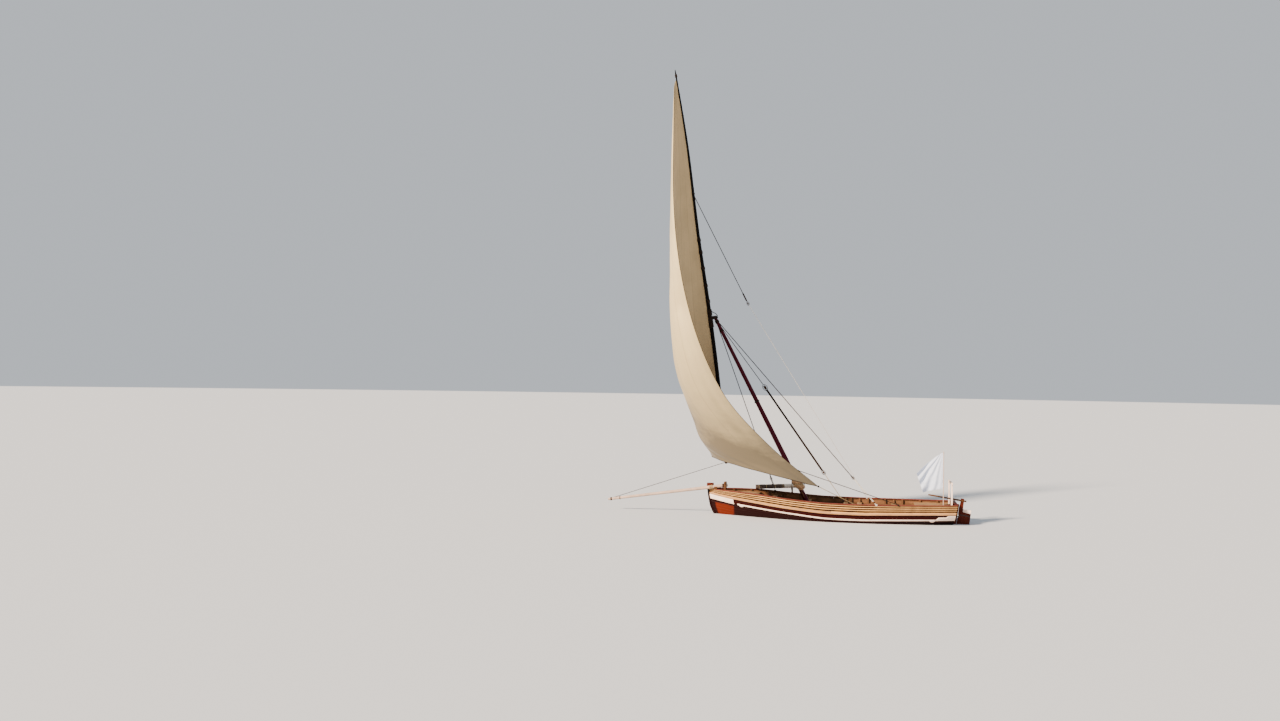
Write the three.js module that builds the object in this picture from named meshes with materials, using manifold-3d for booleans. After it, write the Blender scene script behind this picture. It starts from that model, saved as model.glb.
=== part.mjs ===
// Open wooden sailing dhow with a lateen rig, millimetres, +X bow, +Y port, +Z up, waterline at z = 0
import * as THREE from "three";
import { mergeVertices } from "three/addons/utils/BufferGeometryUtils.js";
import Module from "manifold-3d";

const wasm = await Module();
wasm.setup();
const { Manifold, Mesh: SolidMesh } = wasm;

// Driving sizes

const GAP = 0.3;
const finish = 0.04;
const SIDES = { port: 1, starboard: -1 };
const hull = {
  plank: 40,
  halfKeel: 60,
  keelDepth: 250,
  frameDepth: 85,
  frameLength: 75,
  frameStep: 760,
  firstFrame: -4600,
  frames: 13,
  lowerWale: 74,
  upperWale: 78,
  waleProud: 35,
  seamDepth: 10,
  seamWidth: 16,
  stringerTop: 220,
  stringerHeight: 80,
  stringerDepth: 40,
  postDepth: 150,
  widest: 1500,
};
const rail = { thick: 32, outside: 22, inside: 95 };
const deck = { plank: 40, beam: 80, foreFrom: 3330, foreTo: 5300, aftFrom: -5190, aftTo: -3570 };
const mast = { foot: [563, 0, -400], head: [5475, 0, 9120], below: 200, footRadius: 122, headRadius: 66 };
const yard = { jointAt: 0.46, sides: 12 };
const bowsprit = { tip: [10350, 250, 485], inboard: [4720, 250, 1347], tipRadius: 62, radius: 80 };
const rudder = { behindPost: 45, half: 30, pin: 11, bore: 14, eye: 26, eyeHalf: 20, strap: 6 };
const rudderSeats = [-520, 330];
const stemHeadShape = { aft: 200, ahead: 115, half: 75, foot: 1215, top: 1400 };
const floor = { top: -400, thick: 28, from: -2950, to: 3900 };
const stepShape = { from: 300, to: 850, half: 130, below: 60, above: 90 };
const thwart = { half: 105, thick: 48, places: [-2700, -1180, -560, 1090, 2620] };
const deckBeams = { half: 35, fore: [3400, 4140, 4850], aft: [-4250, -3640] };
const bitts = { from: 4775, to: 4875, posts: [[90, 165], [335, 410]], top: 1500 };
const bittBar = { from: 4785, to: 4865, span: [20, 480], heights: [1425, 1480] };
const sling = { height: 9040, depth: 100, roundMast: 105, roundYard: 122, tilt: 18 };
const staff = { x: -4720, y: 915, radius: 19, top: 3200 };
const flag = { hoist: [1610, 3160], tip: [-3590, 2240], foot: [-3870, 1420], thick: 6, ripple: 70 };
const roll = { from: [1300, -1050, 1330], to: [3560, -980], restAt: 3500, seat: 98, radius: 108 };
const sternFrame = { x: -5080, half: 35, postsAt: 760, postHalf: 32, bar: 72, barHalf: 860, top: 1850 };
const crutch = { x: 1900, half: 37, armHalf: 30, outer: -1385, inner: -1310, reach: -970, top: 1790 };
const crutchArmHeights = [1120, 1230];
const bundle = { height: 1480, size: [300, 290, 250] };
const sailThick = 8;

// Hull stations from transom (0) to stem (1): half beam and heights in mm, angles in degrees
const STATION_COLUMNS = [
  "along", "beam", "sheer", "low", "high", "rabbet", "rise", "flare", "full", "lean",
];
const STATIONS = [
  [0.00, 1020, 890, 240, 472, -150, 38, 4, 0.42, 0.45],
  [0.12, 1220, 855, 210, 442, -380, 30, 5, 0.50, 0.50],
  [0.25, 1370, 830, 170, 397, -520, 22, 6, 0.56, 0.50],
  [0.40, 1480, 812, 130, 357, -620, 16, 6, 0.60, 0.50],
  [0.50, 1500, 820, 140, 367, -640, 15, 6, 0.60, 0.50],
  [0.65, 1420, 915, 270, 482, -640, 20, 8, 0.55, 0.48],
  [0.80, 1140, 1060, 430, 652, -640, 34, 12, 0.45, 0.42],
  [0.90, 740, 1105, 545, 767, -640, 52, 16, 0.36, 0.36],
  [0.96, 380, 1120, 640, 852, -640, 68, 14, 0.33, 0.33],
  [1.00, 60, 1140, 700, 912, -640, 90, 0, 0.33, 0.33],
];

// Stem face and transom face: length position at a height
const STEM_LINE = [[-640, 3900], [-450, 4600], [-100, 5150], [400, 5450], [1250, 5600]];
const TRANSOM_LINE = { foot: [-5150, -150], rake: -150 / 1010 };

// Yard centre line from heel to peak
const YARD_LINE = [
  [4840, -100, 2300],
  [5205, 20, 5780],
  [5650, 120, 9050],
  [6220, 520, 12970],
  [6670, 1100, 16910],
  [7180, 1600, 20220],
];
const YARD_RADII = [[0, 70], [0.35, 92], [0.6, 78], [1, 34]];

// Sail rows from foot to peak: place on the yard, leech point, and two pull points off luff and leech
const SAIL_COLUMNS = ["luff", "leech", "luffPull", "leechPull"];
const SAIL_ROWS = [
  [0.02, [540, 1850, 1590], [1700, 2500, 300], [2300, 1900, 700]],
  [0.12, [2590, 2810, 3360], [2300, 1500, -500], [2300, 900, -300]],
  [0.26, [4560, 3650, 5680], [2250, 1300, -350], [2250, 300, -300]],
  [0.40, [5800, 4020, 8590], [1850, 1300, -200], [1550, -300, -200]],
  [0.55, [6510, 3690, 11440], [1230, 1000, -100], [850, -700, 0]],
  [0.72, [6900, 3000, 14200], [740, 700, 0], [450, -700, 0]],
  [0.88, [7110, 2110, 17280], [400, 330, 0], [190, -300, 0]],
  [0.975, [7190, 1690, 19350], [90, 60, 0], [40, -50, 0]],
];

// Materials

const paints = {
  plank: [0xc08a4e, 0.55],
  cream: [0xe8d3b4, 0.6],
  white: [0xe6dedb, 0.55],
  maroon: [0x5a1512, 0.5],
  bottom: [0x9e2b14, 0.6],
  darkRed: [0x5c1a1a, 0.55],
  black: [0x2a211f, 0.7],
  timber: [0x7c5836, 0.75],
  deckWood: [0x9a7650, 0.8],
  sailcloth: [0xcdbf9f, 0.9],
  pole: [0xd8b79c, 0.7],
  rope: [0x8d7a5e, 0.9],
  darkRope: [0x3c342d, 0.9],
  flagcloth: [0xdfe6f2, 0.85],
  iron: [0x4b4744, 0.5],
};

const boat = new THREE.Group();

function add(name, rough, paint) {
  const shape = rough instanceof Manifold ? rough.simplify(finish) : rough;
  const [color, roughness] = paints[paint];
  const metalness = paint === "iron" ? 0.8 : 0;
  const material = new THREE.MeshStandardMaterial({ color, roughness, metalness });
  const mesh = new THREE.Mesh(shape instanceof Manifold ? toGeometry(shape) : shape, material);
  mesh.name = name;
  boat.add(mesh);
}

// Solids and geometries

function toSolid(geometry) {
  const bare = geometry.clone();
  bare.deleteAttribute("normal");
  bare.deleteAttribute("uv");
  const merged = mergeVertices(bare, 1e-4);
  const vertProperties = new Float32Array(merged.attributes.position.array);
  const triVerts = new Uint32Array(merged.index.array);
  return new Manifold(new SolidMesh({ numProp: 3, vertProperties, triVerts }));
}

function toGeometry(solid) {
  const mesh = solid.getMesh();
  const geometry = new THREE.BufferGeometry();
  geometry.setAttribute("position", new THREE.BufferAttribute(mesh.vertProperties, 3));
  geometry.setIndex(new THREE.BufferAttribute(mesh.triVerts, 1));
  geometry.computeVertexNormals();
  return geometry;
}

function meshFrom(points, triangles) {
  const geometry = new THREE.BufferGeometry().setFromPoints(points);
  geometry.setIndex(triangles);
  geometry.computeVertexNormals();
  return geometry;
}

function box(from, to) {
  const size = to.map((value, axis) => value - from[axis]);
  return Manifold.cube(size).translate(from);
}

function slab(outline, halfWidth) {
  const shape = new THREE.Shape(outline.map(([x, z]) => new THREE.Vector2(x, z)));
  const geometry = new THREE.ExtrudeGeometry(shape, { depth: 2 * halfWidth, bevelEnabled: false });
  geometry.rotateX(Math.PI / 2);
  geometry.translate(0, halfWidth, 0);
  return toSolid(geometry);
}

// A closed wall between an outer and an inner grid of points; turned says that the grid is mirrored
function wall(outer, inner, turned) {
  const rows = outer.length;
  const count = outer[0].length;
  const points = [...outer.flat(), ...inner.flat()];
  const triangles = [];
  const triangle = (a, b, c) => triangles.push(...(turned ? [a, c, b] : [a, b, c]));
  const at = (layer, i, j) => layer * rows * count + i * count + j;
  for (let i = 0; i < rows - 1; i += 1) {
    for (let j = 0; j < count - 1; j += 1) {
      const [a, b, c, d] = [at(0, i, j), at(0, i, j + 1), at(0, i + 1, j + 1), at(0, i + 1, j)];
      triangle(a, b, c);
      triangle(a, c, d);
      const [e, f, g, h] = [at(1, i, j), at(1, i, j + 1), at(1, i + 1, j + 1), at(1, i + 1, j)];
      triangle(e, g, f);
      triangle(e, h, g);
    }
  }
  // Both rims of a wall take the same diagonal, so that neighbouring walls meet without crossing
  const rim = (i, j, k, l, far) => {
    const [a, b, c, d] = [at(0, i, j), at(0, k, l), at(1, k, l), at(1, i, j)];
    if (far) {
      triangle(a, c, b);
      triangle(a, d, c);
    } else {
      triangle(a, b, c);
      triangle(a, c, d);
    }
  };
  for (let i = 0; i < rows - 1; i += 1) {
    rim(i, 0, i + 1, 0, false);
    rim(i, count - 1, i + 1, count - 1, true);
  }
  for (let j = 0; j < count - 1; j += 1) {
    rim(0, j, 0, j + 1, true);
    rim(rows - 1, j, rows - 1, j + 1, false);
  }
  return meshFrom(points, triangles);
}

// A smooth curve through a table of pairs that never overshoots them
function curveThrough(pairs) {
  const last = pairs.length - 1;
  const steps = pairs.slice(1).map(([x, y], i) => (y - pairs[i][1]) / (x - pairs[i][0]));
  const slopes = pairs.map((_, i) => {
    if (i === 0) return steps[0];
    if (i === last) return steps[last - 1];
    if (steps[i - 1] * steps[i] <= 0) return 0;
    return 2 * steps[i - 1] * steps[i] / (steps[i - 1] + steps[i]);
  });
  return x => {
    if (x <= pairs[0][0]) return pairs[0][1] + slopes[0] * (x - pairs[0][0]);
    if (x >= pairs[last][0]) return pairs[last][1] + slopes[last] * (x - pairs[last][0]);
    const i = pairs.findIndex(([end], k) => k > 0 && x <= end) - 1;
    const width = pairs[i + 1][0] - pairs[i][0];
    const s = (x - pairs[i][0]) / width;
    const near = pairs[i][1] * (1 + 2 * s) * (1 - s) ** 2 + slopes[i] * width * s * (1 - s) ** 2;
    const far = pairs[i + 1][1] * s * s * (3 - 2 * s) + slopes[i + 1] * width * s * s * (s - 1);
    return near + far;
  };
}

const lerp = THREE.MathUtils.lerp;
const radians = THREE.MathUtils.degToRad;
const vector = ([x, y, z]) => new THREE.Vector3(x, y, z);
const series = (count, make) => Array.from({ length: count }, (_, i) => make(i));

// Hull surface

const stationCurves = STATION_COLUMNS.slice(1).map((name, i) => {
  return [name, curveThrough(STATIONS.map(row => [row[0], row[i + 1]]))];
});
const stemFace = curveThrough(STEM_LINE);
const transomFace = z => TRANSOM_LINE.foot[0] + TRANSOM_LINE.rake * (z - TRANSOM_LINE.foot[1]);

function station(along) {
  const place = THREE.MathUtils.clamp(along, 0, 1);
  return Object.fromEntries(stationCurves.map(([name, curve]) => [name, curve(place)]));
}

function hullPoint(along, up) {
  const { beam, sheer, rabbet, rise, flare, full, lean } = station(along);
  const reach = Math.hypot(beam - hull.halfKeel, sheer - rabbet);
  const foot = [hull.halfKeel, rabbet];
  const head = [beam, sheer];
  const rising = radians(rise);
  const leaning = radians(flare);
  const low = [foot[0] + reach * full * Math.cos(rising), foot[1] + reach * full * Math.sin(rising)];
  const high = [head[0] - reach * lean * Math.sin(leaning), head[1] - reach * lean * Math.cos(leaning)];
  const weights = [(1 - up) ** 3, 3 * up * (1 - up) ** 2, 3 * up * up * (1 - up), up ** 3];
  const mix = axis => [foot, low, high, head].reduce((sum, p, i) => sum + weights[i] * p[axis], 0);
  const z = mix(1);
  return new THREE.Vector3(lerp(transomFace(z), stemFace(z), along), mix(0), z);
}

function upAt(along, height) {
  let low = 0;
  let high = 1;
  for (let i = 0; i < 30; i += 1) {
    const middle = (low + high) / 2;
    if (hullPoint(along, middle).z < height) low = middle;
    else high = middle;
  }
  return (low + high) / 2;
}

const alongAt = (x, z) => (x - transomFace(z)) / (stemFace(z) - transomFace(z));

function outward(along, up) {
  const step = 1e-3;
  const rising = hullPoint(along, Math.min(up + step, 1)).sub(hullPoint(along, Math.max(up - step, 0)));
  const going = along <= 0
    ? new THREE.Vector3(1, 0, 0)
    : hullPoint(Math.min(along + step, 1), up).sub(hullPoint(along - step, up));
  return rising.cross(going).normalize();
}

function skinPoint(along, up, offset) {
  const point = hullPoint(along, up).addScaledVector(outward(along, up), offset);
  if (up >= 1) point.z = hullPoint(along, 1).z;
  if (along <= 0) point.x = transomFace(point.z);
  return point;
}

// Rows of the planking: each gives the place up the section at a station
const atHeight = (column, lift) => along => upAt(along, station(along)[column] + lift);
const between = (low, high, share) => along => lerp(low(along), high(along), share);
const rowLow = atHeight("low", 0);
const rowLowMiddle = lift => atHeight("low", hull.lowerWale / 2 + lift);
const rowLowTop = atHeight("low", hull.lowerWale);
const rowHigh = atHeight("high", 0);
const rowHighMiddle = lift => atHeight("high", hull.upperWale / 2 + lift);
const rowHighTop = atHeight("high", hull.upperWale);
const rowSheer = () => 1;
const rowKeel = () => 0;

function seamRows() {
  const planks = 4;
  const rows = [{ row: rowHighTop, groove: 0 }];
  for (let i = 1; i < planks; i += 1) {
    const seamHeight = along => {
      const { high, sheer } = station(along);
      return lerp(high + hull.upperWale, sheer, i / planks);
    };
    const shifted = lift => along => upAt(along, seamHeight(along) + lift);
    rows.push({ row: shifted(-hull.seamWidth / 2), groove: 0 });
    rows.push({ row: shifted(0), groove: -hull.seamDepth });
    rows.push({ row: shifted(hull.seamWidth / 2), groove: 0 });
  }
  return [...rows, { row: rowSheer, groove: 0 }];
}

const bottomRows = [...series(8, i => between(rowKeel, rowLow, i / 8)), rowLow];
const upperRows = seamRows();
const boardFrom = { quarter: 0.075, name: 0.895 };
const middleStations = series(9, i => 0.13 + 0.084 * i);
const ALONG = [0, 0.035, boardFrom.quarter, ...middleStations, 0.85, boardFrom.name, 0.93, 0.965, 1];
const allRows = [
  ...bottomRows,
  rowLowMiddle(0),
  rowLowTop,
  rowHigh,
  rowHighMiddle(0),
  ...upperRows.map(entry => entry.row),
];

function mirrored(point, side) {
  return new THREE.Vector3(point.x, side * point.y, point.z);
}

function skinGrid(rows, stations, offsets, side) {
  return stations.map(along => rows.map((row, j) => {
    return mirrored(skinPoint(along, row(along), offsets[j]), side);
  }));
}

function skinWall(rows, stations, inner, outer, side) {
  const offsets = Array.isArray(outer) ? outer : rows.map(() => outer);
  const outerGrid = skinGrid(rows, stations, offsets, side);
  const innerGrid = skinGrid(rows, stations, rows.map(() => inner), side);
  return wall(outerGrid, innerGrid, side < 0);
}

const halfSlot = 4;

// The closed space inside the planking, moved in or out, with its lid at the sheer and lifted
function hullSpace(offset, lid, rows = allRows, stations = ALONG) {
  const offsets = rows.map(() => offset);
  const grids = Object.values(SIDES).map(side => skinGrid(rows, stations, offsets, side));
  const top = rows.length - 1;
  for (const [grid, side] of [[grids[0], 1], [grids[1], -1]]) {
    for (const row of grid) {
      for (const point of row) point.y = side * Math.max(side * point.y, halfSlot);
      row[top].z += lid;
    }
  }
  return toSolid(wall(grids[0], grids[1], false));
}

const inPlank = -hull.plank;
const inFrame = -hull.plank - hull.frameDepth;
const coarseRows = series(9, i => between(rowKeel, rowSheer, i / 8));
const coarseStations = ALONG.filter((_, i) => i % 2 === 0);

const frameSeat = 2.6;
const frameEase = 1.8;
const roomInPlank = hullSpace(inPlank - GAP, -GAP);
const roomForFrames = hullSpace(inPlank - frameSeat, -frameSeat);
const roomInFrames = hullSpace(inFrame, 100, coarseRows, coarseStations);
const roomAboveFrames = hullSpace(inFrame - frameSeat, -GAP, coarseRows, coarseStations);
const plankingRoom = Manifold.union(Object.values(SIDES).flatMap(side => {
  const rows = [() => -0.0003, ...allRows];
  const solid = toSolid(skinWall(rows, [...ALONG, 1.0001], inPlank - GAP, GAP, side));
  return [solid, solid.translate([0, 0, GAP])];
}));

// Planking and wales

function addPlanking(side, name) {
  const lowerRows = [...bottomRows, rowLowMiddle(-GAP / 2)];
  add(`bottom_planking_${name}`, skinWall(lowerRows, ALONG, inPlank, 0, side), "bottom");
  const middleRows = [rowLowMiddle(GAP / 2), rowLowTop, rowHigh, rowHighMiddle(-GAP / 2)];
  add(`maroon_strake_${name}`, skinWall(middleRows, ALONG, inPlank, 0, side), "maroon");
  const topEntries = [{ row: rowHighMiddle(GAP / 2), groove: 0 }, ...upperRows];
  const topRows = topEntries.map(entry => entry.row);
  const grooves = topEntries.map(entry => entry.groove);
  add(`upper_planking_${name}`, skinWall(topRows, ALONG, inPlank, grooves, side), "plank");
}

const buttGap = GAP / 10000;
const boardUnder = 2;
const nearest = 0.005;
const within = (from, to) => [from, ...ALONG.filter(a => a > from + nearest && a < to - nearest), to];

function addWales(side, name) {
  const waleSpan = within(boardFrom.quarter + buttGap, boardFrom.name - buttGap);
  const lowWale = [rowLow, rowLowMiddle(0), rowLowTop];
  add(`white_wale_${name}`, skinWall(lowWale, waleSpan, GAP, hull.waleProud, side), "white");
  const highWale = [rowHigh, rowHighMiddle(0), rowHighTop];
  add(`upper_wale_${name}`, skinWall(highWale, ALONG, GAP, hull.waleProud, side), "cream");
  const boardRows = [rowLow, rowLowMiddle(0), rowLowTop, atHeight("high", -boardUnder)];
  const nameSpan = within(boardFrom.name, 1);
  add(`name_board_${name}`, skinWall(boardRows, nameSpan, GAP, hull.waleProud, side), "white");
  const quarterSpan = within(0, boardFrom.quarter);
  add(`quarter_board_${name}`, skinWall(boardRows, quarterSpan, GAP, hull.waleProud, side), "white");
}

function capRail(side, grow) {
  const section = along => {
    const point = hullPoint(along, 1);
    const flat = outward(along, 1).setZ(0).normalize();
    const clear = y => Math.max(y, hull.halfKeel + GAP - grow);
    const place = (reach, lift) => {
      const moved = point.clone().addScaledVector(flat, reach);
      return mirrored(new THREE.Vector3(moved.x, clear(moved.y), point.z + lift), side);
    };
    const columns = [rail.outside + grow, 0, -hull.plank, -rail.inside - grow];
    return {
      top: columns.map(reach => place(reach, GAP + rail.thick + grow)),
      bottom: columns.map(reach => place(reach, GAP - grow)),
    };
  };
  const sections = ALONG.map(section);
  return wall(sections.map(s => s.top), sections.map(s => s.bottom), side < 0);
}

for (const [name, side] of Object.entries(SIDES)) {
  addPlanking(side, name);
  addWales(side, name);
  add(`cap_rail_${name}`, capRail(side, 0), "darkRed");
}
const railRoom = toSolid(capRail(1, GAP)).add(toSolid(capRail(-1, GAP)));

// Keel, stem, sternpost and transom

const keelBottom = station(0.5).rabbet - hull.keelDepth;
const scarfAt = 3750;
const innerSeat = 60;

function backbone(outline) {
  const timber = slab(outline, hull.halfKeel).subtract(plankingRoom);
  return timber.subtract(hullSpace(inPlank, 0)).simplify(GAP / 2);
}

function keelOutline() {
  const along = series(14, i => i / 18).filter(a => hullPoint(a, 0).x < scarfAt);
  const top = along.map(a => [hullPoint(a, 0).x, station(a).rabbet + innerSeat]);
  const bottom = [[transomFace(keelBottom), keelBottom], [scarfAt, keelBottom]];
  return [...bottom, [scarfAt, STEM_LINE[0][0] + innerSeat], ...top.reverse()];
}

function stemOutline() {
  const depth = curveThrough([[-640, hull.keelDepth], [-300, 150], [200, 110], [1250, 110]]);
  const heights = [-640, -560, -470, -300, -100, 150, 400, 800, stemHeadShape.foot];
  const outer = heights.map(z => {
    const slope = stemFace(z + 5) - stemFace(z - 5);
    const reach = depth(z) / Math.hypot(slope, 10);
    return [stemFace(z) + 10 * reach, z - slope * reach];
  });
  const inner = heights.map(z => [stemFace(z) - 90, z + (z < -400 ? 80 : 0)]);
  const scarf = scarfAt + GAP;
  return [[scarf, keelBottom], ...outer, ...inner.reverse(), [scarf, STEM_LINE[0][0] + innerSeat]];
}

function postOutline() {
  const top = station(0).sheer - 20;
  const edge = (z, behind) => [transomFace(z) - behind, z];
  const back = hull.postDepth;
  return [edge(keelBottom, GAP), edge(top, GAP), edge(top, back), edge(keelBottom, back)];
}

function transomBoard() {
  const thick = 45;
  const edge = (z, ahead) => [transomFace(z) + ahead, z];
  const outline = [edge(-400, -60), edge(1200, -60), edge(1200, thick), edge(-400, thick)];
  return slab(outline, 1500).intersect(roomInPlank);
}

add("keel", backbone(keelOutline()), "bottom");
add("stem_post", backbone(stemOutline()), "bottom");
add("stern_post", slab(postOutline(), hull.halfKeel), "darkRed");
add("transom", transomBoard(), "darkRed");

const stemTop = stemFace(stemHeadShape.foot);
const stemHead = {
  from: [stemTop - stemHeadShape.aft, -stemHeadShape.half, stemHeadShape.foot + GAP],
  to: [stemTop + stemHeadShape.ahead, stemHeadShape.half, stemHeadShape.top],
};
add("stem_head", box(stemHead.from, stemHead.to), "darkRed");

const taffrail = { foot: station(0).sheer + GAP, behind: 40, ahead: 95, half: 1000, thick: 34 };
const taffrailAt = transomFace(taffrail.foot);
const taffrailBoard = box(
  [taffrailAt - taffrail.behind, -taffrail.half, taffrail.foot],
  [taffrailAt + taffrail.ahead, taffrail.half, taffrail.foot + taffrail.thick],
);
add("taffrail", taffrailBoard.subtract(railRoom), "darkRed");

// Frames with their stringers, keelson, floor boards, thwarts and decks

const frameX = series(hull.frames, i => hull.firstFrame + i * hull.frameStep);
const stringerBite = 5;

function frameSlabs(grow) {
  const half = hull.frameLength / 2 + grow;
  return Manifold.union(frameX.map(x => box([x - half, -2000, -1000], [x + half, 2000, 2000])));
}

function stringers(grow) {
  const drops = [hull.stringerTop + hull.stringerHeight + grow, hull.stringerTop - grow];
  const grid = (offset, side) => within(0.035, 0.93).map(along => drops.map(drop => {
    const height = station(along).sheer - drop;
    const up = upAt(along, height);
    const flat = outward(along, up).setZ(0).normalize();
    return mirrored(hullPoint(along, up).addScaledVector(flat, offset), side);
  }));
  const outerFace = inFrame + stringerBite;
  const innerFace = outerFace - hull.stringerDepth - grow;
  return Manifold.union(Object.values(SIDES).map(side => {
    return toSolid(wall(grid(outerFace, side), grid(innerFace, side), side < 0));
  }));
}

const frameRings = roomForFrames.subtract(roomInFrames).intersect(frameSlabs(0));
add("frames", frameRings.add(stringers(0)).simplify(frameEase), "timber");
const framesRoom = hullSpace(inPlank, 10)
  .subtract(hullSpace(inFrame - 2 * frameSeat, 200, coarseRows, coarseStations))
  .intersect(frameSlabs(GAP))
  .add(stringers(frameSeat));

const keelsonShape = { from: -3300, to: 4000, half: 80 };
const keelson = box(
  [keelsonShape.from, -keelsonShape.half, -700],
  [keelsonShape.to, keelsonShape.half, floor.top],
).intersect(roomAboveFrames);
const stepBlock = box(
  [stepShape.from, -stepShape.half, floor.top - stepShape.below],
  [stepShape.to, stepShape.half, floor.top + stepShape.above],
).intersect(roomAboveFrames);

function spar(line, radii, sides) {
  const count = line.length;
  const ring = (i, radius) => {
    const before = line[Math.max(i - 1, 0)];
    const after = line[Math.min(i + 1, count - 1)];
    const ahead = after.clone().sub(before).normalize();
    const across = new THREE.Vector3(0, 1, 0).cross(ahead).normalize();
    const side = ahead.clone().cross(across);
    return series(sides, k => {
      const turn = 2 * Math.PI * k / sides;
      return line[i].clone()
        .addScaledVector(across, radius * Math.cos(turn))
        .addScaledVector(side, radius * Math.sin(turn));
    });
  };
  const points = [line[0], ...line.flatMap((_, i) => ring(i, radii[i])), line[count - 1]];
  const last = points.length - 1;
  const triangles = [];
  for (let k = 0; k < sides; k += 1) {
    const next = (k + 1) % sides;
    triangles.push(0, 1 + next, 1 + k);
    triangles.push(last, last - sides + k, last - sides + next);
    for (let i = 0; i < count - 1; i += 1) {
      const [a, b] = [1 + i * sides + k, 1 + i * sides + next];
      triangles.push(a, b, b + sides, a, b + sides, a + sides);
    }
  }
  return meshFrom(points, triangles);
}

function mastSolid(grow) {
  const line = [vector(mast.foot), vector(mast.head)];
  const ahead = line[1].clone().sub(line[0]).normalize();
  line[0].addScaledVector(ahead, -mast.below);
  line[1].addScaledVector(ahead, grow);
  return toSolid(spar(line, [mast.footRadius + grow, mast.headRadius + grow], 20));
}

const mastBase = floor.top + 30;
const belowMast = height => box([-500, -500, -2000], [1500, 500, height]);
const mastRoom = mastSolid(GAP);
const mortise = mastRoom.subtract(belowMast(mastBase - GAP));
add("mast", mastSolid(0).subtract(belowMast(mastBase)), "darkRed");
add("keelson", keelson.add(stepBlock).subtract(mortise), "timber");

const floorSlab = box(
  [floor.from, -hull.widest, floor.top + GAP],
  [floor.to, hull.widest, floor.top + floor.thick],
).intersect(roomAboveFrames);
const stepRoom = box(
  [stepShape.from - GAP, -stepShape.half - GAP, -600],
  [stepShape.to + GAP, stepShape.half + GAP, 0],
);
add("floor_boards", floorSlab.subtract(stepRoom).subtract(mastRoom), "deckWood");

const seatGap = 0.8;
const seatReach = 40;
const stringerTopAt = x => station(alongAt(x, 700)).sheer - hull.stringerTop;

function seatNear(x, half) {
  const reach = half + seatReach;
  return Math.max(stringerTopAt(x - reach), stringerTopAt(x + reach)) + seatGap;
}

const thwartTops = {};
thwart.places.forEach((x, i) => {
  const seat = seatNear(x, thwart.half);
  const board = box([x - thwart.half, -2000, seat], [x + thwart.half, 2000, seat + thwart.thick]);
  thwartTops[x] = seat + thwart.thick;
  add(`thwart_${i + 1}`, board.intersect(roomInPlank).subtract(framesRoom).subtract(mastRoom), "deckWood");
});

const deckDrop = hull.stringerTop - deck.beam - deck.plank - GAP;
const deckTopAt = x => station(alongAt(x, 900)).sheer - deckDrop;

function sheerDeck(from, to, beams) {
  const places = series(9, i => lerp(from, to, i / 8));
  const level = (x, drop) => [x, station(alongAt(x, 900)).sheer - drop];
  const upper = places.map(x => level(x, deckDrop));
  const lower = places.map(x => level(x, deckDrop + deck.plank));
  const plate = slab([...upper, ...lower.reverse()], 2000);
  const beamSolids = beams.map(x => {
    const head = level(x, deckDrop + deck.plank / 2)[1];
    return box([x - deckBeams.half, -2000, seatNear(x, deckBeams.half)], [x + deckBeams.half, 2000, head]);
  });
  return Manifold.union([plate, ...beamSolids]).intersect(roomInPlank).subtract(framesRoom);
}

const transomRoom = transomBoard().translate([GAP, 0, 0]);
add("fore_deck", sheerDeck(deck.foreFrom, deck.foreTo, deckBeams.fore), "deckWood");
add("aft_deck", sheerDeck(deck.aftFrom, deck.aftTo, deckBeams.aft).subtract(transomRoom), "deckWood");

// Bowsprit with its bitt, chock and lashing

const poleLine = [vector(bowsprit.inboard), vector(bowsprit.tip)];
const pole = grow => toSolid(spar(poleLine, [bowsprit.radius + grow, bowsprit.tipRadius + grow], 16));
const poleRoom = pole(GAP);
const slopes = (from, to, axis) => value => {
  return THREE.MathUtils.mapLinear(value, from[axis], to[axis], from[2 - axis], to[2 - axis]);
};
const poleHeight = slopes(bowsprit.inboard, bowsprit.tip, 0);
add("bowsprit", pole(0), "pole");

const bittFoot = deckTopAt(bitts.to) + GAP;
const bittPosts = bitts.posts.map(([y, far]) => box([bitts.from, y, bittFoot], [bitts.to, far, bitts.top]));
const bar = box(
  [bittBar.from, bittBar.span[0], bittBar.heights[0]],
  [bittBar.to, bittBar.span[1], bittBar.heights[1]],
);
add("bow_bitt", Manifold.union([...bittPosts, bar]).subtract(poleRoom), "timber");

const chockSpan = [5190, 5330];
const chock = box([chockSpan[0], 150, 1142], [chockSpan[1], 350, poleHeight(lerp(...chockSpan, 0.5))]);
const onRails = solid => solid.subtract(railRoom).subtract(poleRoom).subtract(plankingRoom);
add("bowsprit_chock", onRails(chock).subtract(framesRoom), "timber");

const lash = { at: 5480, half: 45, inner: 60, outer: 340, height: 60, radius: 112 };
const lashHeight = poleHeight(lash.at);
const lashCore = box(
  [lash.at - lash.half, lash.inner, lashHeight - lash.height],
  [lash.at + lash.half, lash.outer, lashHeight + lash.height],
);
const poleAt = x => new THREE.Vector3(x, bowsprit.inboard[1], poleHeight(x));
const lashLine = [poleAt(lash.at - lash.half), poleAt(lash.at + lash.half)];
const lashRing = toSolid(spar(lashLine, [lash.radius, lash.radius], 16));
const stemRoom = box(stemHead.from.map(v => v - GAP), stemHead.to.map(v => v + GAP));
add("bowsprit_lashing", onRails(lashRing.add(lashCore)).subtract(stemRoom), "rope");

// Yard and sail

const yardCurve = new THREE.CatmullRomCurve3(YARD_LINE.map(vector), false, "centripetal");
const yardRadius = curveThrough(YARD_RADII);

function yardSpar(from, to, grow) {
  const places = series(9, i => lerp(from, to, i / 8));
  const points = places.map(u => yardCurve.getPointAt(u));
  return toSolid(spar(points, places.map(u => yardRadius(u) + grow), yard.sides));
}

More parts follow.
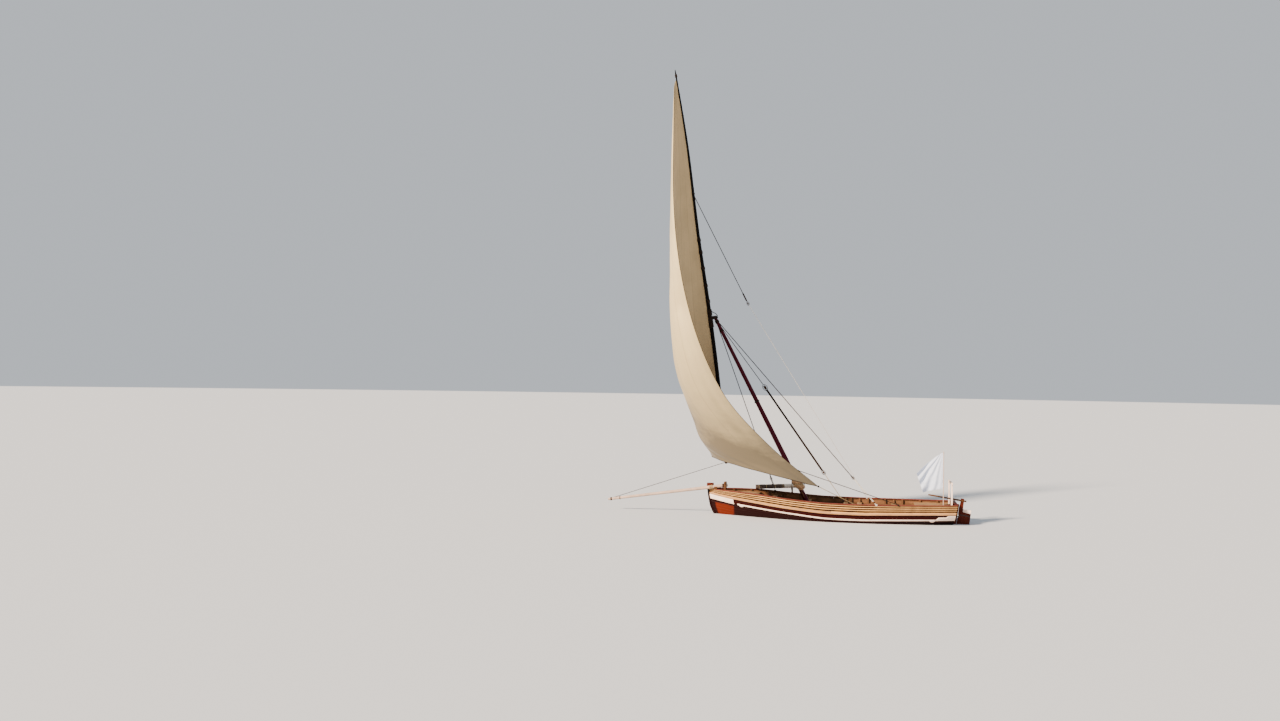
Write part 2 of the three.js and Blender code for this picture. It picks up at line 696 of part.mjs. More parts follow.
const jointGap = 2 * GAP / 18000;
const lowerRoom = yardSpar(0, yard.jointAt + jointGap, GAP);
add("yard_lower", yardSpar(0, yard.jointAt, 0), "black");
add("yard_upper", yardSpar(yard.jointAt, 1, 0).subtract(lowerRoom), "black");
const yardRoomGap = 0.8;
const yardRoom = Manifold.union([
  yardSpar(0, yard.jointAt, yardRoomGap),
  yardSpar(yard.jointAt, 1, yardRoomGap),
  yardSpar(yard.jointAt - 0.01, yard.jointAt + 0.01, yardRoomGap),
]);

const fish = { from: 0.41, to: 0.58, beside: new THREE.Vector3(35, -130, 0), radii: [40, 55, 55, 50, 34] };
const fishLine = fish.radii.map((_, i) => {
  return yardCurve.getPointAt(lerp(fish.from, fish.to, i / (fish.radii.length - 1))).add(fish.beside);
});
add("yard_fish", toSolid(spar(fishLine, fish.radii, 10)).subtract(yardRoom), "black");

const sailCurves = SAIL_COLUMNS.map((name, i) => {
  const width = name === "luff" ? 1 : 3;
  return series(width, axis => curveThrough(SAIL_ROWS.map((row, k) => {
    return [k / (SAIL_ROWS.length - 1), width === 1 ? row[i] : row[i][axis]];
  })));
});

function sailPoint(height, across) {
  const [[luff], leech, luffPull, leechPull] = sailCurves.map(curves => curves.map(curve => curve(height)));
  const start = yardCurve.getPointAt(luff);
  const end = vector(leech);
  const first = start.clone().add(vector(luffPull));
  const second = end.clone().add(vector(leechPull));
  return new THREE.CubicBezierCurve3(start, first, second, end).getPoint(across);
}

function sailGrid(offset) {
  const [rows, columns] = [18, 13];
  const luffEdge = 0.012;
  const step = 1e-3;
  return series(rows + 1, i => series(columns + 1, j => {
    const [height, across] = [i / rows, lerp(luffEdge, 1, j / columns)];
    const nearLeech = sailPoint(height, Math.min(across + step, 1));
    const acrossWay = nearLeech.sub(sailPoint(height, across - step));
    const above = sailPoint(Math.min(height + step, 1), across);
    const upWay = above.sub(sailPoint(Math.max(height - step, 0), across));
    return sailPoint(height, across).addScaledVector(upWay.cross(acrossWay).normalize(), offset);
  }));
}

const sailWall = half => toSolid(wall(sailGrid(half), sailGrid(-half), true));
const sailParts = sailWall(sailThick / 2).subtract(yardRoom).decompose();
const sail = sailParts.reduce((largest, part) => (part.volume() > largest.volume() ? part : largest));
add("sail", sail, "sailcloth");

// Sling that holds the yard to the masthead

const mastAxis = slopes(mast.foot, mast.head, 2);
const slingFrom = new THREE.Vector3(mastAxis(sling.height), 0, sling.height);
const yardAtSling = series(200, i => yardCurve.getPointAt(i / 199)).reduce((best, point) => {
  return Math.abs(point.z - sling.height) < Math.abs(best.z - sling.height) ? point : best;
});

function slingSolid() {
  const shape = new THREE.Shape();
  const away = yardAtSling.clone().sub(slingFrom).setZ(0);
  const reach = away.length();
  shape.absarc(0, 0, sling.roundMast, Math.PI / 2, 3 * Math.PI / 2, false);
  shape.absarc(reach, 0, sling.roundYard, -Math.PI / 2, Math.PI / 2, false);
  const settings = { depth: sling.depth, bevelEnabled: false, curveSegments: 7 };
  const geometry = new THREE.ExtrudeGeometry(shape, settings);
  geometry.translate(0, 0, -sling.depth / 2);
  geometry.rotateY(radians(sling.tilt));
  geometry.rotateZ(Math.atan2(away.y, away.x));
  geometry.translate(slingFrom.x, slingFrom.y, slingFrom.z);
  return toSolid(geometry);
}

const sailRoom = sailWall(sailThick / 2 + GAP);
add("yard_sling", slingSolid().subtract(mastRoom).subtract(yardRoom).subtract(sailRoom), "rope");

// Ropes

function ropeSolid(points, radius) {
  const line = points.map(vector);
  return toSolid(spar(line, line.map(() => radius), 6));
}

function block(at, size) {
  const shell = new THREE.SphereGeometry(size, 10, 6).scale(0.75, 0.5, 1.1);
  return toSolid(shell.translate(...at));
}

const tackle = {
  top: [5235, 0, 8890],
  onMast: [5450, 0, 9015],
  thwart: -560,
  foot: -585,
  blocks: [{ share: 0.37, size: 150 }, { share: 0.83, size: 110 }],
  upper: 20,
  fall: 13,
  apart: 22,
  lower: 16,
};
const tackleSeat = thwartTops[tackle.thwart];
const tackleFoot = [tackle.foot, 0, tackleSeat + 1];
const onTackle = share => tackle.top.map((value, axis) => lerp(value, tackleFoot[axis], share));
const tackleBlocks = tackle.blocks.map(entry => onTackle(entry.share));
const corners = [[-1, -1], [-1, 1], [1, -1], [1, 1]];
const falls = corners.map(([x, y]) => {
  const moved = tackleBlocks.map(p => [p[0] + x * tackle.apart, p[1] + y * tackle.apart, p[2]]);
  return ropeSolid(moved, tackle.fall);
});
const tackleParts = Manifold.union([
  ropeSolid([tackle.onMast, tackleBlocks[0]], tackle.upper),
  ...tackleBlocks.map((at, i) => block(at, tackle.blocks[i].size)),
  ...falls,
  ropeSolid([tackleBlocks[1], onTackle(1.02)], tackle.lower),
]);
const tackleThwart = box([tackle.thwart - 240, -500, 0], [tackle.thwart + 360, 500, tackleSeat + GAP]);
add("halyard_tackle", tackleParts.subtract(mastRoom).subtract(tackleThwart), "darkRope");

const railTopAt = x => station(alongAt(x, 900)).sheer + rail.thick + 2 * GAP;

function addStay(name, head, [footX, footY], radius) {
  const railTop = railTopAt(footX);
  const beyond = [footX - (head[0] - footX) * 0.05, footY, railTop - 200];
  const stay = ropeSolid([head, [footX, footY, railTop], beyond], radius);
  const eye = block([footX, footY, railTop + 60], 60);
  const [right, left] = [Math.min(2 * footY, 0), Math.max(2 * footY, 0)];
  const under = box([footX - 400, right, 0], [footX + 400, left, railTop]);
  add(name, stay.add(eye).subtract(mastRoom).subtract(railRoom).subtract(under), "rope");
}

addStay("backstay_port", [5385, 0, 8965], [-1900, 1390], 15);
addStay("shroud_starboard", [5420, 0, 9000], [2680, -1270], 15);

function seatedRope(points, radius) {
  const clearOfHull = ropeSolid(points, radius).subtract(railRoom).subtract(poleRoom);
  return clearOfHull.subtract(yardRoom).subtract(sailRoom);
}

const vang = { onYard: 0.69, block: [3870, 400, 9660], size: 90, foot: [-1500, -1400], radii: [10, 12] };
const vangTop = yardCurve.getPointAt(vang.onYard).toArray();
const vangFoot = [...vang.foot, railTopAt(vang.foot[0]) + 1];
add("vang", Manifold.union([
  ropeSolid([vangTop, vang.block], vang.radii[0]).subtract(yardRoom),
  ropeSolid([vang.block, vangFoot], vang.radii[1]).subtract(railRoom),
  block(vang.block, vang.size),
]), "rope");

const clew = SAIL_ROWS[0][1];
const sheet = { thwart: -1180, y: 700, radius: 12, belowClew: 10 };
const sheetEnd = [sheet.thwart, sheet.y, thwartTops[sheet.thwart]];
const sheetSeat = box([sheet.thwart - 200, 0, 0], [sheet.thwart + 200, 2 * sheet.y, sheetEnd[2] + GAP]);
const sheetTop = [clew[0], clew[1], clew[2] - sheet.belowClew];
add("sheet", seatedRope([sheetTop, sheetEnd], sheet.radius).subtract(sheetSeat), "rope");

const heel = YARD_LINE[0];
const tack = { x: 10250, aboveHeel: 60, abovePole: 20, radius: 13 };
const tackTop = [heel[0], heel[1], heel[2] + tack.aboveHeel];
const tackEnd = [tack.x, bowsprit.tip[1], poleHeight(tack.x) + tack.abovePole];
add("tack_line", seatedRope([tackTop, tackEnd], tack.radius), "darkRope");

// Rudder hung on the sternpost

const tilt = -Math.atan(TRANSOM_LINE.rake);
const behindTransom = hull.postDepth + rudder.behindPost / Math.cos(tilt);
const axisFoot = new THREE.Vector3(transomFace(0) - behindTransom, 0, 0);

function onRudderAxis(solid) {
  return solid.rotate([0, -THREE.MathUtils.radToDeg(tilt), 0]).translate(axisFoot.toArray());
}

// Local frame of the rudder: x forward, z up the axis
const bladeOutline = [
  [10, -850], [10, 1130], [-130, 1130], [-150, 560], [-500, 530],
  [-505, 0], [-600, -480], [-590, -720], [-520, -850],
];

const upright = (z, length, radius, sides) => {
  return Manifold.cylinder(length, radius, radius, sides, true).translate([0, 0, z]);
};

function bladeSolid() {
  const top = rudder.eyeHalf + GAP;
  const notches = rudderSeats.map(z => box([-rudder.eye - 6, -200, z - 26], [200, 200, z + top]));
  const pins = rudderSeats.map(z => upright(z, 180, rudder.pin, 16));
  return slab(bladeOutline, rudder.half).subtract(Manifold.union(notches)).add(Manifold.union(pins));
}

function gudgeon(z) {
  const half = hull.halfKeel + GAP;
  const outer = half + rudder.strap;
  const post = rudder.behindPost;
  const [low, high] = [z - rudder.eyeHalf, z + rudder.eyeHalf];
  const plate = box([post + GAP - 12, -outer, low], [post + 120, outer, high]);
  const postRoom = box([post - GAP, -half, low - 10], [post + hull.postDepth, half, high + 10]);
  const eye = upright(z, 2 * rudder.eyeHalf, rudder.eye, 20);
  const arm = box([0, -18, low], [post - GAP, 18, high]);
  const bore = upright(z, 3 * rudder.eyeHalf, rudder.bore, 20);
  return plate.subtract(postRoom).add(eye).add(arm).subtract(bore);
}

add("rudder_blade", onRudderAxis(bladeSolid()), "darkRed");
const cap = { from: -498, to: -155, half: 38, foot: 545, top: 690 };
const bladeRoom = slab(bladeOutline.map(([x, z]) => [x - GAP, z + GAP]), 60);
const capBox = box([cap.from, -cap.half, cap.foot + GAP], [cap.to, cap.half, cap.top]);
add("rudder_cap", onRudderAxis(capBox.subtract(bladeRoom)), "cream");
add("gudgeon_low", onRudderAxis(gudgeon(rudderSeats[0])), "iron");
add("gudgeon_high", onRudderAxis(gudgeon(rudderSeats[1])), "iron");

const tillerPlan = [[-230, -55], [60, -70], [1380, -22], [1400, 0], [1380, 22], [60, 70], [-230, 55]];
const tillerHeights = { foot: 1010, thick: 62 };

function tillerSolid() {
  const plan = new THREE.Shape(tillerPlan.map(([x, y]) => new THREE.Vector2(x, y)));
  const geometry = new THREE.ExtrudeGeometry(plan, { depth: tillerHeights.thick, bevelEnabled: false });
  geometry.translate(0, 0, tillerHeights.foot);
  const room = rudder.half + GAP;
  return toSolid(geometry).subtract(box([-140 - GAP, -room, 900], [10 + GAP, room, 1200]));
}
add("tiller", onRudderAxis(tillerSolid()), "timber");

// Stern frame, flagstaff and flag

const [sternAft, sternFore] = [sternFrame.x - sternFrame.half, sternFrame.x + sternFrame.half];
const sternPosts = Object.values(SIDES).map(side => {
  const y = side * sternFrame.postsAt;
  const foot = [sternAft, y - sternFrame.postHalf, deckTopAt(sternAft) + GAP];
  return box(foot, [sternFore, y + sternFrame.postHalf, sternFrame.top]);
});
const crossBar = box(
  [sternAft + 1, -sternFrame.barHalf, sternFrame.top - sternFrame.bar],
  [sternFore - 1, sternFrame.barHalf, sternFrame.top],
);
add("stern_frame", Manifold.union([...sternPosts, crossBar]), "white");

const staffFoot = deckTopAt(staff.x) + GAP + 1;
const staffEnds = [[staff.x, staff.y, staffFoot], [staff.x, staff.y, staff.top]];
add("flagstaff", ropeSolid(staffEnds, staff.radius), "pole");

function flagGrid(offset) {
  const hoistX = staff.x + staff.radius + GAP;
  return series(9, i => series(7, j => {
    const [out, up] = [i / 8, j / 6];
    const farX = lerp(flag.foot[0], flag.tip[0], up);
    const farZ = lerp(flag.foot[1], flag.tip[1], up);
    const ripple = flag.ripple * out * Math.sin(2.2 * Math.PI * out + 0.8 * up);
    const height = lerp(lerp(...flag.hoist, up), farZ, out ** 1.2);
    return new THREE.Vector3(lerp(hoistX, farX, out), staff.y + ripple + offset, height);
  }));
}
add("flag", wall(flagGrid(flag.thick / 2), flagGrid(-flag.thick / 2), false), "flagcloth");

// Spare sail roll on its crutch, and the bundle round the mast

const rollEnd = new THREE.Vector3(...roll.to, railTopAt(roll.restAt) + roll.seat);
const rollLine = [vector(roll.from), vector(roll.from).lerp(rollEnd, 0.5), rollEnd];
const rollSolid = grow => toSolid(spar(rollLine, rollLine.map(() => roll.radius + grow), 14));
add("spare_sail_roll", rollSolid(0).subtract(railRoom), "sailcloth");

const crutchPost = box(
  [crutch.x - crutch.half, crutch.outer, railTopAt(crutch.x)],
  [crutch.x + crutch.half, crutch.inner, crutch.top],
);
const crutchArm = box(
  [crutch.x - crutch.armHalf, crutch.outer, crutchArmHeights[0]],
  [crutch.x + crutch.armHalf, crutch.reach, crutchArmHeights[1]],
);
add("crutch", crutchPost.add(crutchArm).subtract(rollSolid(GAP)).subtract(railRoom), "timber");

const ball = new THREE.SphereGeometry(1, 14, 8).scale(...bundle.size);
const bundleSolid = toSolid(ball.translate(mastAxis(bundle.height), 0, bundle.height));
add("mast_bundle", bundleSolid.subtract(mastRoom), "rope");

export default boat;
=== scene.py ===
"""The looks of an open wooden sailing dhow with a lateen rig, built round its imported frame."""

from functools import lru_cache, partial
from math import atan, atan2, cos, exp, hypot, pi, radians, sin
from types import SimpleNamespace

import bmesh
import bpy
from bpy.props import FloatProperty, FloatVectorProperty, IntProperty, PointerProperty
from mathutils import Matrix, Vector, noise
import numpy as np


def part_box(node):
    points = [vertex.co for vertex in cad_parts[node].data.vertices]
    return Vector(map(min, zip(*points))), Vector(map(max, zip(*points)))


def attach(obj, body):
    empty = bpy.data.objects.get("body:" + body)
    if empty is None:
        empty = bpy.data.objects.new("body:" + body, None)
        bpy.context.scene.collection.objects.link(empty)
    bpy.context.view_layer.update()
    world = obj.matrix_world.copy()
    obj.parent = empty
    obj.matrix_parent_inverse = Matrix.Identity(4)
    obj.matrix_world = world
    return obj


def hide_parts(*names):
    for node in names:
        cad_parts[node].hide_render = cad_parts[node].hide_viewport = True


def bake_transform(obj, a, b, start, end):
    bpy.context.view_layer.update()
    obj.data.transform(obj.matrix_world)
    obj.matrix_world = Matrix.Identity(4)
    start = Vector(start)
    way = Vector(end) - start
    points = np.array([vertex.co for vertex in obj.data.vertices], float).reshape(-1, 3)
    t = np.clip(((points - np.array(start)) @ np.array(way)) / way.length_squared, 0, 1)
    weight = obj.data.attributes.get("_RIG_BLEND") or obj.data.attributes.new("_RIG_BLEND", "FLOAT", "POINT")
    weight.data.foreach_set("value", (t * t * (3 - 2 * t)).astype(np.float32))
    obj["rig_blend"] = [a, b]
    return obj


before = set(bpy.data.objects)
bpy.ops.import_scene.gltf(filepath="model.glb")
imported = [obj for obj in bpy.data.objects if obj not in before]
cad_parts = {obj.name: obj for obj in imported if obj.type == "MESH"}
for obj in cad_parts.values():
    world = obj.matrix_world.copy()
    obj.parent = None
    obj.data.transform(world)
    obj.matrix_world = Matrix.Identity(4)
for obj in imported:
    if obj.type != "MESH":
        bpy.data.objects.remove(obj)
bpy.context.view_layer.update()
X, Y, Z = Vector((1, 0, 0)), Vector((0, 1, 0)), Vector((0, 0, 1))

bl_info = {
    "name": "Lateen dhow",
    "version": (1, 0, 0),
    "blender": (4, 5, 0),
    "location": "View3D > Sidebar > Dhow",
    "description": "Builds an open sailing dhow, piece by piece",
    "category": "Object",
}


# Colours and sizes that a user would change


def linear(code):
    """Turns an sRGB hex value to linear light."""
    parts = [int(code[i : i + 2], 16) / 255 for i in (0, 2, 4)]
    return tuple(p / 12.92 if p <= 0.04045 else ((p + 0.055) / 1.055) ** 2.4 for p in parts)


def colour(name, description, code):
    return FloatVectorProperty(
        name=name, description=description, subtype="COLOR", min=0, max=1, default=linear(code)
    )


def length(name, description, default, low, high):
    return FloatProperty(
        name=name, description=description, default=default, min=low, max=high, unit="LENGTH"
    )


class DhowHullSizes(bpy.types.PropertyGroup):
    seam: length("Plank seam", "Depth of the seam between two planks", 0.010, 0.002, 0.02)
    crown: length("Plank crown", "How far a plank stands out between its seams", 0.002, 0, 0.006)
    plank: length("Plank thickness", "Thickness of the planking", 0.038, 0.02, 0.04)
    wale: length("Rail reach", "How far the rails stand off the planking", 0.035, 0.02, 0.036)
    board: length("Deck board", "Width of a deck board", 0.15, 0.08, 0.3)
    nail: length("Nail head", "Radius of a plank nail's head", 0.009, 0.004, 0.015)
    strakes: IntProperty(
        name="Bottom strakes", description="Planks between keel and lower rail", default=10, min=4, max=16
    )


class DhowRigSizes(bpy.types.PropertyGroup):
    cloth: length("Sailcloth", "Thickness of the sail", 0.004, 0.002, 0.01)
    panel: length("Cloth width", "Width of one cloth of the sail", 0.62, 0.3, 1.2)
    bolt_rope: length("Bolt rope", "Radius of the rope along the sail's edges", 0.014, 0.006, 0.03)
    roband: length("Roband spacing", "Distance between two ties on the yard", 0.46, 0.2, 1.0)
    stay: length("Stay", "Radius of a stay", 0.018, 0.006, 0.02)
    lashing: length("Lashing", "Radius of the rope in a lashing", 0.011, 0.005, 0.02)


class DhowColours(bpy.types.PropertyGroup):
    plank: colour("Planks", "Oiled light planks of the upper hull", "ecb474")
    cream: colour("Upper rail", "Weathered peach-cream paint", "b4875c")
    white: colour("Lower rail", "Weathered white paint", "f4dac8")
    maroon: colour("Maroon band", "Paint between the rails", "240302")
    bottom: colour("Bottom", "Red-oxide paint of the bottom", "6c2013")
    dark_red: colour("Mast and rudder", "Dark red paint", "430a1a")
    timber: colour("Timber", "Bare inside timber", "80583a")
    deck: colour("Deck", "Worn deck boards", "a27c55")
    pole: colour("Pole", "Peeled pale pole", "d0b4a0")
    spar: colour("Yard", "Tarred yard", "0f0b0a")
    canvas: colour("Sail", "Cotton canvas", "cdb98c")
    rope: colour("Rope", "Natural fibre", "a08a68")
    tarred: colour("Tarred rope", "Tarred fibre", "2a201b")
    flag: colour("Flag", "Pale bare cloth", "d4ddf0")
    iron: colour("Iron", "Dull forged iron", "352c28")
    capping: colour("Capping", "Worn red-brown paint of the top rail", "6a3428")
    rudder: colour("Rudder", "Worn red-brown paint of the rudder", "4d1a0c")
    # The sail's inner face is the canvas painted darker and browner: painted shade, warmed by light coming
    # through the cloth
    shaded_inner_cloth: colour("Sail's inner face", "Cotton canvas browned by smoke and rope", "bba27a")


# Hull surface, in metres, as the frame has it

STATION_NAMES = ("along", "beam", "sheer", "low", "high", "rabbet", "rise", "flare", "full", "lean")
STATIONS = (
    (0.00, 1.020, 0.890, 0.240, 0.472, -0.150, 38, 4, 0.42, 0.45),
    (0.12, 1.220, 0.855, 0.210, 0.442, -0.380, 30, 5, 0.50, 0.50),
    (0.25, 1.370, 0.830, 0.170, 0.397, -0.520, 22, 6, 0.56, 0.50),
    (0.40, 1.480, 0.812, 0.130, 0.357, -0.620, 16, 6, 0.60, 0.50),
    (0.50, 1.500, 0.820, 0.140, 0.367, -0.640, 15, 6, 0.60, 0.50),
    (0.65, 1.420, 0.915, 0.270, 0.482, -0.640, 20, 8, 0.55, 0.48),
    (0.80, 1.140, 1.060, 0.430, 0.652, -0.640, 34, 12, 0.45, 0.42),
    (0.90, 0.740, 1.105, 0.545, 0.767, -0.640, 52, 16, 0.36, 0.36),
    (0.96, 0.380, 1.120, 0.640, 0.852, -0.640, 68, 14, 0.33, 0.33),
    (1.00, 0.060, 1.140, 0.700, 0.912, -0.640, 90, 0, 0.33, 0.33),
)
STEM_LINE = ((-0.640, 3.900), (-0.450, 4.600), (-0.100, 5.150), (0.400, 5.450), (1.250, 5.600))
TRANSOM_FOOT = (-5.150, -0.150)
TRANSOM_RAKE = -0.150 / 1.010
HALF_KEEL = 0.060
# The heights of the two rails
LOWER_WALE, UPPER_WALE = 0.074, 0.078
SIDES = {"port": 1, "starboard": -1}
# How many steps a timber takes over the hull's whole length
LENGTHWISE = 72
FRAMES_AT = [-4.600 + 0.760 * i for i in range(13)]


def smooth_curve(pairs):
    """A curve through pairs that never overshoots them."""
    chords = [(b[1] - a[1]) / (b[0] - a[0]) for a, b in zip(pairs, pairs[1:])]
    inner = [0 if p * q <= 0 else 2 * p * q / (p + q) for p, q in zip(chords, chords[1:])]
    slopes = [chords[0], *inner, chords[-1]]

    def value(x):
        if x <= pairs[0][0]:
            return pairs[0][1] + slopes[0] * (x - pairs[0][0])
        if x >= pairs[-1][0]:
            return pairs[-1][1] + slopes[-1] * (x - pairs[-1][0])
        i = next(k for k, pair in enumerate(pairs) if k and x <= pair[0]) - 1
        width = pairs[i + 1][0] - pairs[i][0]
        s = (x - pairs[i][0]) / width
        near = pairs[i][1] * (1 + 2 * s) * (1 - s) ** 2 + slopes[i] * width * s * (1 - s) ** 2
        return near + pairs[i + 1][1] * s * s * (3 - 2 * s) + slopes[i + 1] * width * s * s * (s - 1)

    return value


def mix(a, b, share):
    return a + (b - a) * share


def covered(value, start, span):
    """The share of a span that a value has covered, from 0 to 1."""
    return min(1, max(0, (value - start) / span))


def cubic_weights(t):
    return (1 - t) ** 3, 3 * t * (1 - t) ** 2, 3 * t * t * (1 - t), t**3


def steps(count):
    """Even shares from 0 to 1."""
    return [i / count for i in range(count + 1)]


def circle(count):
    return [2 * pi * k / count for k in range(count)]


def wobble(*place):
    """Smooth noise about 0."""
    return noise.noise(Vector(place))


STATION_CURVES = {
    name: smooth_curve([(row[0], row[i]) for row in STATIONS]) for i, name in enumerate(STATION_NAMES) if i
}
stem_face = smooth_curve(STEM_LINE)


def transom_face(z):
    return TRANSOM_FOOT[0] + TRANSOM_RAKE * (z - TRANSOM_FOOT[1])


@lru_cache(maxsize=None)
def station(along):
    place = min(max(along, 0), 1)
    return {name: curve(place) for name, curve in STATION_CURVES.items()}


@lru_cache(maxsize=None)
def section(along):
    """The four guide points of the hull's section, as (half breadth, height)."""
    s = station(along)
    reach = hypot(s["beam"] - HALF_KEEL, s["sheer"] - s["rabbet"])
    rise, flare = radians(s["rise"]), radians(s["flare"])
    foot, head = (HALF_KEEL, s["rabbet"]), (s["beam"], s["sheer"])
    low = (foot[0] + reach * s["full"] * cos(rise), foot[1] + reach * s["full"] * sin(rise))
    high = (head[0] - reach * s["lean"] * sin(flare), head[1] - reach * s["lean"] * cos(flare))
    return foot, low, high, head


def hull_point(along, up):
    y, z = (sum(w * p[axis] for w, p in zip(cubic_weights(up), section(along))) for axis in (0, 1))
    return Vector((mix(transom_face(z), stem_face(z), along), y, z))


@lru_cache(maxsize=None)
def up_at(along, height):
    low, high = 0.0, 1.0
    for _ in range(22):
        middle = (low + high) / 2
        if hull_point(along, middle).z < height:
            low = middle
        else:
            high = middle
    return (low + high) / 2


def along_at(x, z):
    return (x - transom_face(z)) / (stem_face(z) - transom_face(z))


def outward(along, up):
    step = 1e-3
    rising = hull_point(along, min(up + step, 1)) - hull_point(along, max(up - step, 0))
    going = Vector((1, 0, 0))
    if along > 0:
        going = hull_point(min(along + step, 1), up) - hull_point(along - step, up)
    return rising.cross(going).normalized()


def skin(along, up, offset, side):
    point = hull_point(along, up) + outward(along, up) * offset
    if up >= 1:
        point.z = hull_point(along, 1).z
    if along <= 0:
        point.x = transom_face(point.z)
    return Vector((point.x, side * point.y, point.z))


def row(column, lift=0.0):
    return lambda along: up_at(along, station(along)[column] + lift)


def share_of(low, high, share):
    return lambda along: mix(low(along), high(along), share)


def places(start, end):
    """Stations along the hull between two ends."""
    return [start, *[a for a in steps(LENGTHWISE) if start + 0.004 < a < end - 0.004], end]


# Meshes


def new_mesh():
    bm = bmesh.new()
    bm.loops.layers.uv.new("UVMap")
    for layer in ("tone", "edge"):
        bm.verts.layers.float.new(layer)
    return bm


def distances(points):
    run = [0.0]
    for a, b in zip(points, points[1:]):
        run.append(run[-1] + (b - a).length)
    return run


def loft(bm, rings, closed=True, tone=0.5, rope=0.0, edge=(0.5,), back=99):
    """Lays a grid over rings of points, joins it where it meets itself and closes its ends.

    The UV map is in metres, or in diameters and turns where rope gives a diameter. edge gives a
    value to each point of a ring, and faces from the point numbered back on take the second finish.
    """
    last, count = len(rings) - 1, len(rings[0])
    across = count if closed else count - 1
    verts = bmesh.ops.create_grid(bm, x_segments=last, y_segments=across, size=1)["verts"]
    uv, tones, edges = bm.loops.layers.uv.active, bm.verts.layers.float["tone"], bm.verts.layers.float["edge"]
    run = distances([ring[0] for ring in rings])
    middle = rings[last // 2]
    around = distances([*middle, middle[0]])
    if rope:
        run = [r / rope for r in run]
        around = steps(across)
    spot = {v: (round((v.co.x + 1) / 2 * last), round((v.co.y + 1) / 2 * across)) for v in verts}
    faces = {face for v in verts for face in v.link_faces}
    for face in faces:
        for corner in face.loops:
            i, j = spot[corner.vert]
            corner[uv].uv = (run[i], around[j])
        face.material_index = int(min(spot[v][1] for v in face.verts) >= back)
    for v, (i, j) in spot.items():
        v.co = rings[i][j % count]
        v[tones] = tone(i / last, j / across) if callable(tone) else tone
        v[edges] = edge(i, j % count) if callable(edge) else edge[j % len(edge)]
    if not closed:
        return list(faces)
    seam = [v for v, (i, j) in spot.items() if j in (0, across)]
    ends = [v for v, (i, j) in spot.items() if i in (0, last)]
    bmesh.ops.remove_doubles(bm, verts=seam, dist=1e-5)
    open_edges = {e for v in ends if v.is_valid for e in v.link_edges if e.is_boundary}
    faces |= set(bmesh.ops.holes_fill(bm, edges=list(open_edges), sides=0)["faces"])
    faces = [face for face in faces if face.is_valid]
    bmesh.ops.recalc_face_normals(bm, faces=faces)
    return faces


def thicken(bm, thickness):
    bmesh.ops.solidify(bm, geom=list(bm.faces), thickness=thickness)


def way_at(line, i):
    return (line[min(i + 1, len(line) - 1)] - line[max(i - 1, 0)]).normalized()


def across_of(ahead):
    """A direction across a way that runs lengthwise or upright."""
    return (Y if abs(ahead.y) < 0.9 else X).cross(ahead).normalized()


def tube_rings(line, radius, sides):
    rings = []
    first = None
    for i, point in enumerate(line):
        ahead = way_at(line, i)
        first = across_of(ahead) if first is None else (first - ahead * first.dot(ahead)).normalized()
        second = ahead.cross(first)
        r = radius[i] if isinstance(radius, list) else radius
        rings.append([point + first * (r * cos(t)) + second * (r * sin(t)) for t in circle(sides)])
    return rings


def tube(bm, line, radius, sides):
    loft(bm, tube_rings(line, radius, sides))


def rope(bm, line, radius, sides=8):
    """A rope along a line, with its strands' turns in the UV map."""
    loft(bm, tube_rings(line, radius, sides), rope=2 * radius)


def straight(a, b, count):
    return [a.lerp(b, share) for share in steps(count)]


def coil(bm, p, q, rp, rq, axis, turns, radius, sides=6, per_arc=9):
    """Rope wound round one or two spars, each turn beside the last."""
    axis = Vector(axis).normalized()
    ahead = q - p
    ahead = (ahead - axis * ahead.dot(axis)).normalized()
    side = axis.cross(ahead)
    loop = []
    for centre, r, start in ((q, rq + radius, -90), (p, rp + radius, 90)):
        for k in range(per_arc):
            turn = radians(start + 180 * k / (per_arc - 1))
            loop.append(centre + ahead * (r * cos(turn)) + side * (r * sin(turn)))
    step = 2.05 * radius / len(loop)
    count = turns * len(loop)
    rope(bm, [loop[k % len(loop)] + axis * (step * (k - count / 2)) for k in range(count + 1)], radius, sides)


def ring_coil(bm, centre, axis, inner, turns, radius, per_arc=8):
    """Rope wound round one spar."""
    ahead = Vector(axis).orthogonal().normalized() * 1e-4
    coil(bm, centre - ahead, centre + ahead, inner, inner, axis, turns, radius, per_arc=per_arc)


def hitch(bm, centre, half, turns):
    """Rope wound round a timber of the rail, lengthwise."""
    coil(bm, centre - half, centre + half, 0.022, 0.022, X, turns, 0.009)


def knot(bm, centre, size):
    """A lump of rope where a line is made fast."""
    for v in bmesh.ops.create_uvsphere(bm, u_segments=10, v_segments=6, radius=size)["verts"]:
        v.co = centre + v.co * (1 + 0.18 * sin(40 * v.co.x / size + 30 * v.co.z / size))


def facing(way):
    """The turn that lays +Z along a way."""
    return way.to_track_quat("Z", "Y").to_matrix().to_4x4()


def stud(bm, centre, turn, segments, foot, head, depth):
    bmesh.ops.create_cone(
        bm, cap_ends=True, segments=segments, radius1=foot, radius2=head, depth=depth,
        matrix=Matrix.Translation(centre) @ turn,
    )


def of_kind(geometry, kind):
    return [item for item in geometry if isinstance(item, kind) and item.is_valid]


def put(name, data):
    """An object of the data, in the scene."""
    made = bpy.data.objects.new(name, data)
    bpy.context.scene.collection.objects.link(made)
    return made


def finish_piece(name, bm, finish, replaces=(), slot=None, body="hull", sharp=35):
    """Makes an object of a bmesh: its finishes, its body and the nodes that it replaces. slot is not used."""
    mesh = bpy.data.meshes.new(name)
    bm.to_mesh(mesh)
    bm.free()
    finishes = finish if isinstance(finish, tuple) else (finish,)
    for each in finishes:
        mesh.materials.append(MATERIALS[each])
    mesh.polygons.foreach_set("use_smooth", [True] * len(mesh.polygons))
    mesh.set_sharp_from_angle(angle=radians(sharp))
    piece = put(name, mesh)
    if body:
        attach(piece, body)
    if replaces:
        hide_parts(*replaces)
    return piece


